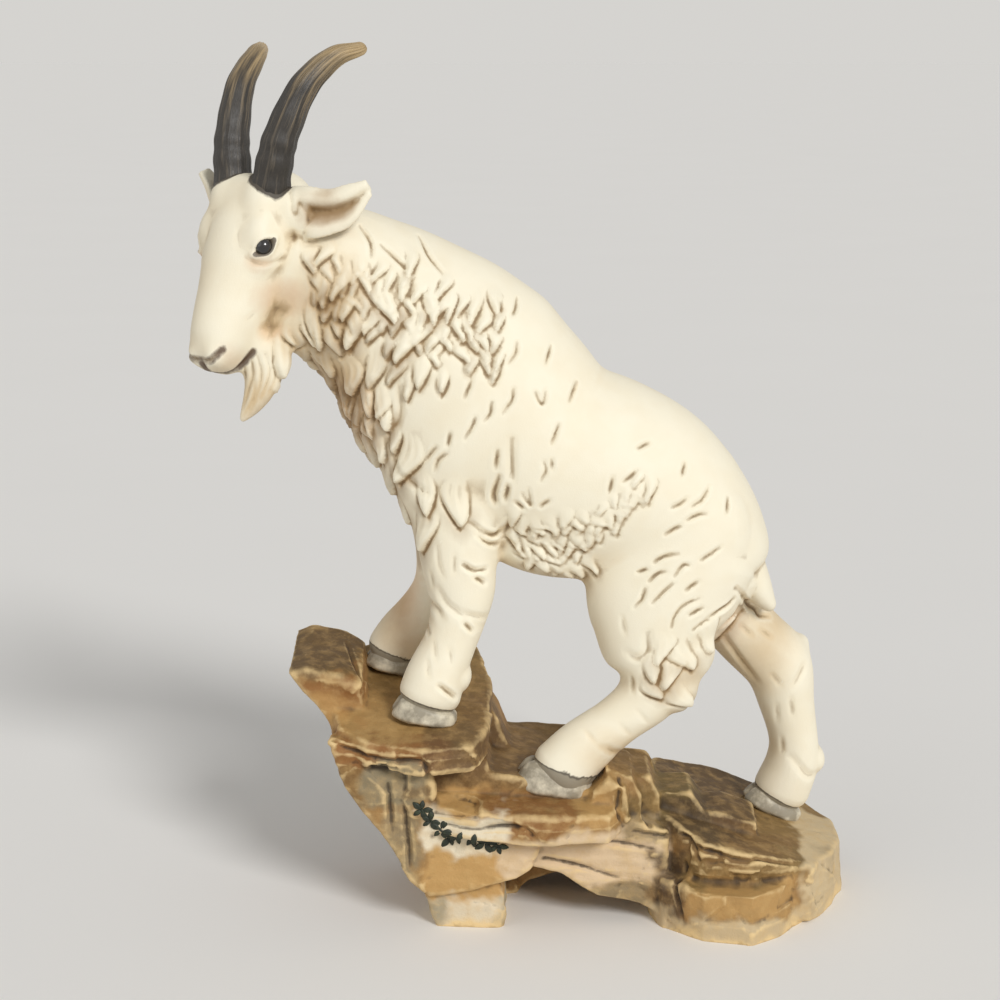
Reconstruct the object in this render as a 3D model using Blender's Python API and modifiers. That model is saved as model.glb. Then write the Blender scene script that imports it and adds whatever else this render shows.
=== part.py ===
# A mountain goat climbing a stepped rock: one slip-cast bisque porcelain figurine.
# Blender 4.5 script. Sizes are in millimetres and are turned into metres where a mesh is made.
# X runs from the goat's head (-) to its tail (+), Y away from the viewer, Z up.
# The goat's left flank faces -Y and is called the near side.

import math
import random

import bmesh
import bpy
import numpy as np
from mathutils import Matrix, Vector, noise
from mathutils.bvhtree import BVHTree
from mathutils.kdtree import KDTree

MM = 0.001

# Surface resolution of the clay before it is thinned, and the facets kept
CLAY_GRAIN = 0.8
ROCK_GRAIN = 1.0
GOAT_FACETS = 7750
ROCK_FACETS = 3150
BROAD_PASSES = 64  # smoothing of the barrel, the neck and the haunches

# Rock
FORE_LEDGE = 60.5  # height of the shelf under the near forefoot
HIND_LEDGE = 38.7  # height of the shelf under the near hind foot
TAIL_LEDGE = 22.4  # height of the shelf under the far hind foot
SHELF_RISE = 0.2  # how much the fore shelf climbs towards the back, per millimetre
ROCK_BACK = 34.0
EDGE_ROUNDING = 1.4
STRATA = 6.2  # thickness of one layer of stone
STRATA_RELIEF = 0.9
CHIP = 10.0  # width of one chipped face of the stone
CHIP_TILT = 0.15
FOOT_DEPTH = 2.5  # stone below the table line that is ground away to a flat foot
CRACK_WIDTH = 1.7
CRACK_DEPTH = 2.2
LEAF_LENGTH = 5.0

# Stance
NEAR_SIDE = -16.0  # Y of the near feet
FAR_SIDE = 14.0  # Y of the far feet
HOOF_WIDTH = 16.5
HOOF_HEIGHT = 9.0  # at the toe

# Body
BODY_HALF_WIDTH = 24.5
NECK_FULLNESS = 0.78  # width of the neck against its depth
TAIL_LENGTH = 19.0

# Head
SKULL = (-73.6, -6.0, 196.5)  # middle of the head at eye level
HEAD_YAW = 48.0  # degrees that the face turns towards the near side
HEAD_PITCH = 58.0  # degrees that the nose points down
MUZZLE_LENGTH = 33.5
EAR_WIDTH = 15.0
EAR_RIM = 1.9  # radius of the rolled upper rim
BEARD_LENGTH = 22.0
EYE = (3.9, 12.1, 5.2)  # forward, outward and up from the middle of the head
EYE_RADIUS = 2.7
HORN_ROOT = 5.5
HORN_TIP = 1.9
HORN_SPREAD = 20.8

# Coat
LOCK_LENGTH = 16.0
LOCK_WIDTH = 7.6
LOCK_RELIEF = 2.0
STROKE_WIDTH = 1.2
STROKE_DEPTH = 0.8


def smooth_rows(rows, per_span):
    """Catmull-Rom rows between the given ones, for paths, radii and outlines alike."""
    rows = [np.array(row, float) for row in rows]
    padded = [2 * rows[0] - rows[1], *rows, 2 * rows[-1] - rows[-2]]
    out = []
    for i in range(1, len(padded) - 2):
        a, b, c, d = padded[i - 1 : i + 3]
        for k in range(per_span):
            t = k / per_span
            out.append(
                0.5 * (2 * b + (c - a) * t + (2 * a - 5 * b + 4 * c - d) * t**2
                       + (3 * b - a - 3 * c + d) * t**3)
            )
    out.append(rows[-1])
    return np.array(out)


def sections(stations, per_span=4, across=(0, 1, 0)):
    """Frames along a limb. A station is x, y, z, radius in the limb's plane, radius across it."""
    rows = smooth_rows(stations, per_span)
    path = rows[:, :3]
    tangents = np.gradient(path, axis=0)
    frames = []
    for centre, tangent, row in zip(path, tangents, rows):
        along = tangent / np.linalg.norm(tangent)
        side = np.array(across, float)
        side -= along * side.dot(along)
        side /= np.linalg.norm(side)
        up = np.cross(along, side)
        frames.append((centre, along, side, up, max(row[3], 0.2), max(row[4], 0.2)))
    return frames


def add_object(name, bm):
    mesh = bpy.data.meshes.new(name)
    bmesh.ops.recalc_face_normals(bm, faces=bm.faces)
    bm.to_mesh(mesh)
    bm.free()
    obj = bpy.data.objects.new(name, mesh)
    bpy.context.scene.collection.objects.link(obj)
    return obj


def limb(name, stations, sides=28, per_span=4, across=(0, 1, 0), place=None, dome=0.75):
    """A closed loft through elliptical sections, with a domed end at each side."""
    frames = sections(stations, per_span, across)
    ends = []
    for sign, frame in ((-1, frames[0]), (1, frames[-1])):
        centre, along, side, up, r_up, r_side = frame
        bulge = dome * min(r_up, r_side) * sign
        cap = []
        for degrees in (30, 58, 78):
            a = math.radians(degrees)
            shrink = math.cos(a)
            cap.append((centre + along * bulge * math.sin(a), side, up, r_up * shrink, r_side * shrink))
        ends.append((cap, centre + along * bulge))
    middle = [(c, s, u, ru, rs) for c, _, s, u, ru, rs in frames]
    loops = ends[0][0][::-1] + middle + ends[1][0]
    placed = place or Matrix.Identity(4)
    bm = bmesh.new()
    rings = []
    for centre, side, up, r_up, r_side in loops:
        ring = []
        for k in range(sides):
            a = 2 * math.pi * k / sides
            point = centre + up * r_up * math.cos(a) + side * r_side * math.sin(a)
            ring.append(bm.verts.new(placed @ (Vector(point) * MM)))
        rings.append(ring)
    for low, high in zip(rings, rings[1:]):
        for k in range(sides):
            n = (k + 1) % sides
            bm.faces.new((low[k], low[n], high[n], high[k]))
    for ring, tip in ((rings[0], ends[0][1]), (rings[-1], ends[1][1])):
        pole = bm.verts.new(placed @ (Vector(tip) * MM))
        for k in range(sides):
            bm.faces.new((ring[k], ring[(k + 1) % sides], pole))
    return add_object(name, bm)


def lump(name, centre, radii, turn=(0, 0, 0), place=None):
    """An ellipsoid of clay, turned by degrees about X, Y and Z."""
    bm = bmesh.new()
    bmesh.ops.create_uvsphere(bm, u_segments=24, v_segments=16, radius=1.0)
    rotation = Matrix.Rotation(math.radians(turn[2]), 4, "Z") @ Matrix.Rotation(
        math.radians(turn[1]), 4, "Y") @ Matrix.Rotation(math.radians(turn[0]), 4, "X")
    size = Matrix.Diagonal((*[r * MM for r in radii], 1))
    where = Matrix.Translation(Vector(centre) * MM)
    bmesh.ops.transform(bm, matrix=(place or Matrix.Identity(4)) @ where @ rotation @ size, verts=bm.verts)
    return add_object(name, bm)


def head_place():
    """The head's own frame: X forward along the nose, Y to the goat's left, Z out of the forehead."""
    yaw, pitch = math.radians(HEAD_YAW), math.radians(HEAD_PITCH)
    forward = Vector((-math.cos(pitch) * math.cos(yaw), -math.cos(pitch) * math.sin(yaw), -math.sin(pitch)))
    left = Vector((math.sin(yaw), -math.cos(yaw), 0))
    brow = forward.cross(left)
    turn = Matrix((forward, left, brow)).transposed().to_4x4()
    return Matrix.Translation(Vector(SKULL) * MM) @ turn


def torso_stations():
    w, n = BODY_HALF_WIDTH, NECK_FULLNESS
    return [
        (61, 0, 98, 12, 0.55 * w),
        (58, 0, 104, 18, 0.72 * w),
        (50, 0, 112, 23.5, 0.88 * w),
        (36.5, 0, 122.2, 28.4, 0.95 * w),
        (22.6, 0, 128.2, 30.3, w),
        (8.5, 0, 133.5, 30, w),
        (-4.6, 0, 146, 32, w),
        (-15.2, -0.5, 155.5, 34, 0.98 * w),
        (-25.3, -1, 166.3, 31, 0.9 * w),
        (-35.2, -1.5, 175.2, 26.4, 25.6 * n),
        (-44.9, -2.5, 181.4, 23.6, 23.6 * n),
        (-54.4, -3.5, 186.7, 21.4, 21.4 * n),
        (-61, -4.5, 190, 17, 17 * n),
    ]


def leg_stations(foot, hip, rows):
    """Rows are the share of the way from foot to hip, the offset along X, and the two radii."""
    out = []
    for share, offset, r_up, r_side in rows:
        x, y, z = (f + (h - f) * share for f, h in zip(foot, hip))
        out.append((x + offset, y, z, r_up, r_side))
    return out


def shelf_height(ledge, y, rise):
    return ledge + rise * (y - NEAR_SIDE)


def legs():
    far_fore = shelf_height(FORE_LEDGE, FAR_SIDE, SHELF_RISE)
    made = []
    made.append(leg_stations((-26, NEAR_SIDE, FORE_LEDGE + 5), (-18, -9, 138), [
        (0.03, 1.4, 9.0, 8.0), (0.09, 2.2, 8.6, 7.8), (0.17, 3.9, 8.0, 7.4), (0.25, 5.8, 7.7, 7.5),
        (0.35, 7.2, 8.6, 8.2), (0.45, 7.1, 10.2, 9.2), (0.57, 5.2, 11.2, 10.2), (0.70, 3.9, 13.2, 11.2),
        (0.83, 2.6, 17.0, 12), (1.0, 0.0, 21, 13)]))
    made.append(leg_stations((-37.5, FAR_SIDE, far_fore + 5), (-22, 9, 128), [
        (0.02, 0.8, 7.8, 7.4), (0.12, 2.6, 7.6, 7.0), (0.24, 6.4, 7.4, 7.2), (0.38, 9.4, 7.8, 8.0),
        (0.58, 7.6, 8.6, 8.8), (0.78, 4.0, 10.2, 10.0), (1.0, 0.0, 13, 12)]))
    made.append(leg_stations((13.5, NEAR_SIDE, HIND_LEDGE + 6), (46, -8.5, 109), [
        (0.0, 0.0, 9.3, 8.2), (0.10, 3.0, 8.5, 7.8), (0.22, 8.6, 7.4, 7.4), (0.34, 13.6, 9.0, 8.6),
        (0.46, 12.2, 12.6, 10.8), (0.59, 6.6, 16.0, 12.4), (0.76, 2.6, 21.4, 14.0), (1.0, 0.5, 23.5, 14.5)]))
    made.append(leg_stations((79.5, FAR_SIDE, TAIL_LEDGE + 6), (53.5, 9, 100), [
        (0.0, 2.0, 8.6, 8.0), (0.12, 7.9, 8.0, 7.6), (0.24, 11.1, 7.4, 7.2), (0.40, 12.7, 8.6, 8.0),
        (0.56, 13.8, 10.4, 9.4), (0.68, 8.8, 10.4, 10.5), (0.81, 4.0, 11.0, 11.5), (1.0, 0.0, 16.0, 13.5)]))
    parts = [limb(f"leg_{i}", rows) for i, rows in enumerate(made)]
    parts.append(lump("dewclaw_near_fore", (-17.0, NEAR_SIDE + 1, FORE_LEDGE + 12.5), (4.6, 4.6, 5.6)))
    parts.append(lump("hock_near", (49.5, -13, 79), (8.5, 8, 9), (0, 25, 0)))
    parts.append(lump("breeches_low", (46.5, -15, 68.5), (6.5, 6.5, 7), (0, 30, 0)))
    parts.append(lump("hock_point_far", (86.8, FAR_SIDE, 73.4), (3.6, 4.0, 4.4), (0, 40, 0)))
    parts.append(lump("dewclaw_far_hind", (90.4, FAR_SIDE, TAIL_LEDGE + 16.0), (3.8, 4.6, 5.0), (0, -20, 0)))
    return parts


def hoof(name, toe, heel, y, toe_height, heel_height):
    """A horn wedge on its sole, high at the toe and low at the heel, split by the cleft of two claws."""
    toe_x, toe_z = toe
    heel_x, heel_z = heel
    length = heel_x - toe_x
    pitch = math.atan2(heel_z - toe_z, length)
    length = math.hypot(length, heel_z - toe_z)
    bm = bmesh.new()
    bmesh.ops.create_uvsphere(bm, u_segments=32, v_segments=16, radius=1.0)
    place = Matrix.Translation(Vector((toe_x, y, toe_z)) * MM) @ Matrix.Rotation(-pitch, 4, "Y")
    for v in bm.verts:
        a, b, c = v.co
        a = math.copysign(abs(a) ** 0.75, a)
        b = math.copysign(abs(b) ** 0.75, b)
        c = math.copysign(abs(c) ** 0.5, c)
        share = (a + 1) / 2
        top = toe_height + (heel_height - toe_height) * share
        height = (c + 1) / 2
        slant = (1 - share) * height * toe_height * 0.45
        narrowing = 1 - 0.2 * height
        cleft = 1 - 0.22 * max(0.0, 1 - abs(b) / 0.25) * (1 - share)
        x = length * share * cleft + slant + (1 - cleft) * length * 0.5
        v.co = place @ (Vector((x, b * HOOF_WIDTH / 2 * narrowing, height * top - 0.6)) * MM)
    return add_object(name, bm)


def horns(place):
    made = []
    r = HORN_ROOT
    for side in (-1, 1):
        spread = side * HORN_SPREAD
        rows = [
            (-7.0, 0.32 * spread, 3.0, r * 1.04, r),
            (-12.8, 0.37 * spread, 7.3, r * 1.02, r * 0.97),
            (-20.0, 0.44 * spread, 11.0, r * 0.93, r * 0.9),
            (-27.1, 0.5 * spread, 13.4, r * 0.86, r * 0.82),
            (-40.2, 0.63 * spread, 15.0, r * 0.72, r * 0.68),
            (-51.2, 0.77 * spread, 12.0, r * 0.54, r * 0.52),
            (-56.6, 0.97 * spread, 8.0, HORN_TIP, HORN_TIP)]
        made.append(limb(f"horn_{side}", rows, sides=20, place=place, dome=1.0))
    return made


def head_parts(place):
    m = MUZZLE_LENGTH
    parts = [limb("skull", [
        (-16, 0, -5.0, 9.5, 9.5), (-10, 0, -3.4, 12.8, 12.0), (-3, 0, -2.0, 14.4, 13.6),
        (5, 0, -2.4, 13.8, 13.6), (0.36 * m, 0, -2.9, 12.4, 12.2), (0.56 * m, 0, -3.1, 11.0, 10.6),
        (0.76 * m, 0, -3.3, 9.9, 9.5),
        (0.93 * m, 0, -3.6, 8.5, 8.8), (m, 0, -3.7, 6.2, 7.4)], place=place)]
    for side in (-1, 1):
        parts.append(lump(f"brow_{side}", (1.0, side * 9.6, 2.4), (10.5, 5.4, 5.6), place=place))
        parts.append(lump(f"eye_{side}", (EYE[0], side * EYE[1], EYE[2]), (EYE_RADIUS,) * 3, place=place))
        parts.append(lump(f"cheek_{side}", (3.0, side * 7.2, -10.0), (11.5, 5.5, 7.4), (0, 8, 0), place=place))
        parts.append(lump(f"jaw_{side}", (15.0, side * 4.6, -9.6), (12.0, 4.4, 5.2), (0, 0, 0), place=place))
        parts.append(lump(f"nostril_wing_{side}", (m + 2.2, side * 4.6, -0.8), (3.4, 3.0, 3.2), place=place))
    parts.append(lump("lower_lip", (m - 0.5, 0, -9.8), (5.0, 5.6, 3.0), place=place))
    parts.append(lump("crown", (-8, 0, 6.0), (6.5, 11.5, 5.0), place=place))
    parts.append(lump("throat", (-2.0, 0, -16.5), (12, 9.5, 8.5), (0, 15, 0), place=place))
    return parts


def ear(name, root, tip, opening, rim_hand):
    """A cupped leaf rolled about the line from root to tip, with a thick rim along its upper edge."""
    root, tip, opening = Vector(root), Vector(tip), Vector(opening)
    along = (tip - root).normalized()
    length = (tip - root).length
    face = (opening - along * opening.dot(along)).normalized()
    wide = along.cross(face)
    ribs = 10
    bm = bmesh.new()
    rows = []
    rim = []
    for t, share in smooth_rows([(0, 0.72), (0.25, 0.98), (0.5, 1), (0.75, 0.82), (0.92, 0.46), (1, 0.12)], 3):
        half = EAR_WIDTH / 2 * share
        cup = 0.62 * half * (1 - 0.45 * t)
        row = []
        for k in range(ribs + 1):
            v = 2 * k / ribs - 1
            point = root + along * length * t + wide * half * v - face * cup * (1 - v * v)
            row.append(bm.verts.new(point * MM))
        rows.append(row)
        edge = root + along * length * t + wide * half * rim_hand * 0.96
        rim.append((*edge, EAR_RIM * (1 - 0.35 * t), EAR_RIM * (1 - 0.35 * t)))
    for low, high in zip(rows, rows[1:]):
        for k in range(ribs):
            bm.faces.new((low[k], low[k + 1], high[k + 1], high[k]))
    blade = add_object(name, bm)
    shell = blade.modifiers.new("thickness", "SOLIDIFY")
    shell.thickness = 2.2 * MM
    shell.offset = 0
    return [blade, limb(name + "_rim", rim[::3], sides=14, per_span=3, across=tuple(face))]


def beard():
    x, y, z = -70.8, -12.5, 168.0
    b = BEARD_LENGTH
    return [
        limb("beard", [(x + 0.6, y, z + 1, 6.0, 4.6), (x + 0.3, y, z - 0.35 * b, 5.9, 4.4),
                       (x - 1.2, y - 0.4, z - 0.62 * b, 5.0, 3.6), (x - 4.0, y - 0.8, z - 0.84 * b, 3.4, 2.6),
                       (x - 6.8, y - 1.0, z - b, 1.2, 1.0)]),
        lump("beard_curl", (x + 3.2, y, z - 0.42 * b), (3.6, 3.2, 6.0), (0, 20, 0)),
    ]


def goat_masses():
    place = head_place()
    parts = [limb("torso", torso_stations(), sides=40, per_span=5)]
    parts += legs()
    parts.append(lump("shoulder_near", (-12, -12, 146), (20, 13.5, 27), (0, 26, 0)))
    parts.append(lump("shoulder_far", (-12, 12, 147), (20, 12.5, 26), (0, 26, 0)))
    parts.append(lump("withers", (-5, 0, 168), (19, 14, 13), (0, 38, 0)))
    parts.append(lump("belly", (12, 0, 108), (22, 19, 9), (0, 6, 0)))
    parts.append(lump("brisket", (-27, -1, 132), (10, 14, 17), (0, -14, 0)))
    parts.append(lump("rump_far", (53, 8, 104), (17, 14, 20)))
    parts.append(lump("flank_near", (47, -9, 112), (21, 13.5, 22), (0, 20, 0)))
    t = TAIL_LENGTH
    parts.append(limb("tail", [(63.5, -1.5, 89 + t, 6.0, 7.5), (67, -2, 89 + 0.7 * t, 5.6, 7.0),
                               (71, -2, 89 + 0.3 * t, 4.2, 5.6), (74.4, -2, 89.5, 2.2, 2.8)]))
    far_fore = shelf_height(FORE_LEDGE, FAR_SIDE, SHELF_RISE)
    h = HOOF_HEIGHT
    for name, toe, heel, y, toe_share, heel_share in (
            ("hoof_near_fore", (-36.8, FORE_LEDGE + 1), (-17.0, FORE_LEDGE - 1.8), NEAR_SIDE, 0.92, 0.5),
            ("hoof_far_fore", (-46.0, far_fore + 2), (-29.5, far_fore - 1.5), FAR_SIDE, 0.85, 0.5),
            ("hoof_near_hind", (0.4, HIND_LEDGE + 1.5), (22.4, HIND_LEDGE - 2.3), NEAR_SIDE, 1.1, 0.75),
            ("hoof_far_hind", (68.6, TAIL_LEDGE + 3.4), (86.5, TAIL_LEDGE - 4), FAR_SIDE, 0.8, 0.5)):
        parts.append(hoof(name, toe, heel, y, toe_share * h, heel_share * h))
    parts += head_parts(place)
    parts += horns(place)
    parts += ear("ear_near", (-61.0, -12.5, 201.0), (-40.4, -18.5, 213.2), (-0.35, -1.0, -0.5), 1)
    parts += ear("ear_far", (-77.5, 5, 198.0), (-89.5, 14, 215.0), (-0.6, -0.7, 0.1), -1)
    parts += beard()
    return parts


def block(name, outline, low, high, upright=True, rise_x=0.0, rise_y=0.0):
    """A stone block with rounded edges. An upright one has its outline in XZ and runs from low to
    high in Y. A lying one has its outline in XY and its top at high, which climbs by the rises."""
    curve = bpy.data.curves.new(name, "CURVE")
    curve.dimensions = "2D"
    curve.fill_mode = "BOTH"
    curve.extrude = ((high - low) / 2 - EDGE_ROUNDING) * MM
    curve.bevel_depth = EDGE_ROUNDING * MM
    curve.bevel_resolution = 1
    spline = curve.splines.new("POLY")
    spline.points.add(len(outline) - 1)
    for point, (a, b) in zip(spline.points, outline):
        point.co = (a * MM, b * MM, 0, 1)
    spline.use_cyclic_u = True
    drawn = bpy.data.objects.new(name, curve)
    bpy.context.scene.collection.objects.link(drawn)
    bpy.context.view_layer.update()
    mesh = bpy.data.meshes.new_from_object(drawn.evaluated_get(bpy.context.evaluated_depsgraph_get()))
    bpy.data.objects.remove(drawn)
    bm = bmesh.new()
    bm.from_mesh(mesh)
    bpy.data.meshes.remove(mesh)
    bmesh.ops.remove_doubles(bm, verts=bm.verts, dist=0.01 * MM)
    middle = (low + high) / 2 * MM
    for v in bm.verts:
        a, b, c = v.co
        if upright:
            v.co = (a, c + middle, b)
        else:
            v.co = (a, b, c + middle)
        v.co.z += rise_x * v.co.x + rise_y * v.co.y
    return add_object(name, bm)


def rock_blocks():
    f, h, t, b, d = FORE_LEDGE, HIND_LEDGE, TAIL_LEDGE, ROCK_BACK, FOOT_DEPTH
    rise = SHELF_RISE
    fore_top = f - rise * NEAR_SIDE - 0.04 * 26  # so that the fore shelf passes under the near forefoot
    hind_top = h - 0.1 * NEAR_SIDE + 0.05 * 11
    tail_top = t + 0.3 * 77 - 0.05 * FAR_SIDE
    return [
        block("prow", [(-63.5, 74.8), (-60, 76), (-51, 74), (-45.8, 71), (-45, 66), (-43, f - 4),
                       (-50.5, f - 8), (-53, 61), (-57, 66.5), (-60.5, 70.5)], -14, 16, True, 0, 0.18),
        block("fore_shelf", [(-51.5, -14), (-49.5, -23), (-42, -30), (-26, -34), (-12.5, -30), (-8.5, -20),
                             (-8, 10), (-12, b - 4), (-30, b - 1), (-47, b - 8), (-51, 12)],
              fore_top - 8, fore_top, False, -0.04, rise),
        block("fore_boulder", [(-26, f + 1.5), (-15, f + 1.5), (-9.5, f - 1.5), (-6, f - 7), (-3, f - 16),
                               (1, f - 19), (1, f - 24), (-26, f - 24)], 2, b - 8),
        block("low_boulder", [(-8, h + 1), (4, h + 1.5), (10, h - 1), (12, 30), (-10, 30)], 4, b - 8),
        block("grey_block", [(-51.5, f - 4), (-36, f - 5.5), (-25.5, f - 7), (-24.5, 42), (-25.5, 30),
                             (-27, 14), (-29, 16), (-32, 21.5), (-37, 30.5), (-43, 38), (-48, 44),
                             (-50.5, 51)], -29, b - 8),
        block("core", [(-26, f - 8), (-10, f - 8), (-8, h + 6), (28, h - 1), (30, 20), (6, 24), (-10, 20),
                       (-26, 14)], -22, b - 8),
        block("hind_shelf", [(-26, -27), (-12, -33), (10, -34), (26, -31), (30, -22), (32, 0), (32, 20),
                             (20, b - 3), (-20, b - 2), (-28, 10)], hind_top - 9, hind_top, False, -0.05, 0.1),
        block("hind_curl", [(20, h - 6), (23, h + 1), (27, h + 5), (31, h + 2.5), (32, h - 6),
                            (28, h - 9)], -25, 4),
        block("tongue", [(-29, 30), (-14, 33), (6, 32), (6, 24), (4, 19.6), (0, 16.3), (-9, 14), (-24, 11.5),
                         (-25, 14)], -28, 18),
        block("left_foot", [(-27, 16), (-8, 17), (-3.5, 9), (-3.5, 3), (-5, -d), (-21, -d), (-23.3, 3.5),
                            (-24, 8)], -25, 16),
        block("root_band", [(-4, 32), (14, 33), (30, 32), (43, 27), (43, 3), (37, 6.5), (24.5, 9), (13.5, 16.5),
                            (6, 18.4), (-2, 23)], -23, 6),
        block("back_skirt", [(-32, 30), (40, 28), (46, -d), (26, -d), (19, 4.5), (13, 7.4), (4, 5), (-3, -d),
                             (-22, -d), (-28, 14)], 0, b - 6),
        block("fin_left", [(27, h + 6.5), (33, h + 4.5), (35.5, h - 1), (36, 24), (26, 24)], -21, 2),
        block("fin_mid", [(32, h + 3), (38.5, h + 2.5), (41.5, h - 3), (42, 24), (31, 24)], -16, 8),
        block("fin_right", [(40, h - 3), (51, h - 3.5), (55, 29.5), (62, 28.8), (70, 26), (70, 12),
                            (40, 12)], -13, 6),
        block("tail_shelf", [(44, -16), (54, -27), (69, -29), (85, -22), (93, -8), (97, 4), (97.5, 20),
                             (88, b - 3), (60, b), (44, b - 4), (40, 8)],
              tail_top - 18, tail_top, False, -0.3, 0.05),
        block("tail_base", [(40, 8), (41, -16), (43, -25), (54, -35), (67, -37.5), (75, -31), (81.5, -22),
                            (89, -10), (94.5, -1), (96.5, 16), (88, b - 4), (60, b - 2), (44, b - 6)],
              -d, 15, False),
    ]


def evaluated_mesh(obj):
    depsgraph = bpy.context.evaluated_depsgraph_get()
    return bpy.data.meshes.new_from_object(obj.evaluated_get(depsgraph))


def joined(name, parts):
    """One object holding the surfaces of all the parts, which are removed."""
    bpy.context.view_layer.update()
    bm = bmesh.new()
    for part in parts:
        mesh = evaluated_mesh(part)
        bm.from_mesh(mesh)
        bpy.data.meshes.remove(mesh)
        bpy.data.objects.remove(part)
    mesh = bpy.data.meshes.new(name)
    bm.to_mesh(mesh)
    bm.free()
    obj = bpy.data.objects.new(name, mesh)
    bpy.context.scene.collection.objects.link(obj)
    return obj


def settle(obj):
    """Applies the object's modifiers."""
    bpy.context.view_layer.update()
    mesh = evaluated_mesh(obj)
    obj.modifiers.clear()
    old = obj.data
    obj.data = mesh
    bpy.data.meshes.remove(old)


def clay(name, parts, grain, softening):
    """Melts overlapping parts into one skin and softens the joins between them."""
    obj = joined(name, parts)
    remesh = obj.modifiers.new("one skin", "REMESH")
    remesh.mode = "VOXEL"
    remesh.voxel_size = grain * MM
    smooth = obj.modifiers.new("soften", "SMOOTH")
    smooth.factor = 0.5
    smooth.iterations = softening
    settle(obj)
    return obj


def ease_broad_forms(goat):
    """Smooths the barrel, neck and haunches further, and leaves head, ears, lower legs and hooves crisp."""
    skull = Vector(SKULL)
    group = goat.vertex_groups.new(name="broad")
    for v in goat.data.vertices:
        here = v.co / MM
        from_head = (here - skull).length
        by_height = min(1.0, max(0.0, (here.z - 84) / 22))
        by_head = min(1.0, max(0.0, (from_head - 24) / 14))
        if by_height * by_head > 0 and here.x < 62:
            group.add([v.index], by_height * by_head, "REPLACE")
    ease = goat.modifiers.new("ease", "SMOOTH")
    ease.factor = 0.5
    ease.iterations = BROAD_PASSES
    ease.vertex_group = "broad"
    settle(goat)
    goat.vertex_groups.clear()


class Skin:
    """Vertex positions and normals of a mesh in millimetres, for pushing the surface in and out."""

    def __init__(self, obj):
        self.obj = obj
        count = len(obj.data.vertices)
        flat = np.empty(count * 3)
        obj.data.vertices.foreach_get("co", flat)
        self.points = flat.reshape(-1, 3) / MM
        obj.data.vertices.foreach_get("normal", flat)
        self.normals = flat.reshape(-1, 3).copy()
        self.lift = np.zeros(count)
        self.cut = np.zeros(count)
        self.tree = KDTree(count)
        for i, point in enumerate(self.points):
            self.tree.insert(point, i)
        self.tree.balance()
        self.surface = BVHTree.FromPolygons(
            [tuple(p) for p in self.points], [tuple(f.vertices) for f in obj.data.polygons])

    def near(self, point, radius):
        found = self.tree.find_range(point, radius)
        return np.array([index for _, index, _ in found], int)

    def flank(self, x, z, side):
        """The point on the near (-1) or far (1) face of the form at x, z."""
        hit = self.surface.ray_cast(Vector((x, side * 90.0, z)), Vector((0, -side, 0)))
        if hit[0] is None:
            return None
        return np.array(hit[0])

    def dent(self, centre, size, depth):
        """A recess with a flat bottom and steep walls around a point, its half sizes along X and Z."""
        found = self.near(centre, max(size) * 1.3)
        away = np.abs(self.points[found] - np.array(centre))
        reach = np.maximum(away[:, 0] / size[0], away[:, 2] / size[1])
        self.cut[found] = np.minimum(self.cut[found], -depth * np.clip((1.1 - reach) / 0.25, 0, 1))

    def groove(self, path, width, depth):
        """A tapering V cut along a path of points on the surface."""
        path = [np.array(p, float) for p in path if p is not None]
        if len(path) < 2:
            return
        rows = np.array([self.points[self.tree.find(row)[1]] for row in smooth_rows(path, 6)])
        found = set()
        for row in rows:
            found.update(index for _, index, _ in self.tree.find_range(row, width * 1.6))
        if not found:
            return
        found = np.array(sorted(found), int)
        gaps = np.linalg.norm(self.points[found][:, None, :] - rows[None, :, :], axis=2)
        nearest = gaps.argmin(axis=1)
        share = nearest / (len(rows) - 1)
        taper = np.sin(math.pi * np.clip(0.12 + 0.83 * share, 0, 1)) ** 0.7
        reach = np.clip(1 - gaps.min(axis=1) / width, 0, 1)
        self.cut[found] = np.minimum(self.cut[found], -depth * taper * reach**0.8)

    def trace(self, line, side, width, depth):
        """A groove through x, z points, laid on the near (-1) or far (1) face of the form."""
        self.groove([self.flank(x, z, side) for x, z in line], width, depth)

    def finish(self):
        moved = (self.points + self.normals * (self.lift + self.cut)[:, None]) * MM
        self.obj.data.vertices.foreach_set("co", moved.ravel())
        self.obj.data.update()


def lock(skin, start, tip, width, relief, curl):
    """One carved lock: a leaf that rises from its root to its point and is undercut round the point."""
    if start is None or tip is None:
        return
    start, tip = np.array(start), np.array(tip)
    middle = skin.tree.find((start + tip) / 2)[1]
    normal = skin.normals[middle]
    along = tip - start
    along = along - normal * normal.dot(along)
    length = np.linalg.norm(along)
    if length < width * 0.5:
        return
    along /= length
    side = np.cross(normal, along)
    found = skin.near(skin.points[middle], 0.62 * length + width)
    away = skin.points[found] - start
    u = away @ along / length
    v = away @ side - 0.22 * curl * width * np.sin(1.5 * math.pi * np.clip(u, 0, 1))
    facing = skin.normals[found] @ normal > 0.12
    inner = np.clip(u, 0, 1)
    half = 0.5 * width * (0.6 + 0.4 * np.clip(inner / 0.4, 0, 1)) * (1 - inner**2.6) ** 0.75
    outside = np.where(u > 1, np.hypot((u - 1) * length, v), np.abs(v) - half)
    span = np.clip(np.abs(v) / np.maximum(half, 0.05), 0, 1)
    body = facing & (u > 0) & (u < 1) & (outside < 0)
    rise = relief * np.clip(u / 0.75, 0, 1) ** 1.2 * (1 - 0.75 * span**3)
    kept = found[body]
    skin.lift[kept] = np.maximum(skin.lift[kept], rise[body])
    rim = facing & (u > 0.3) & (outside >= -0.25 * STROKE_WIDTH)
    cut = np.clip(1 - np.abs(outside - 0.35 * STROKE_WIDTH) / STROKE_WIDTH, 0, 1)
    cut *= np.clip((u - 0.3) / 0.3, 0, 1)
    skin.cut[found] = np.minimum(skin.cut[found], -0.55 * relief * cut * rim)


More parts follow.
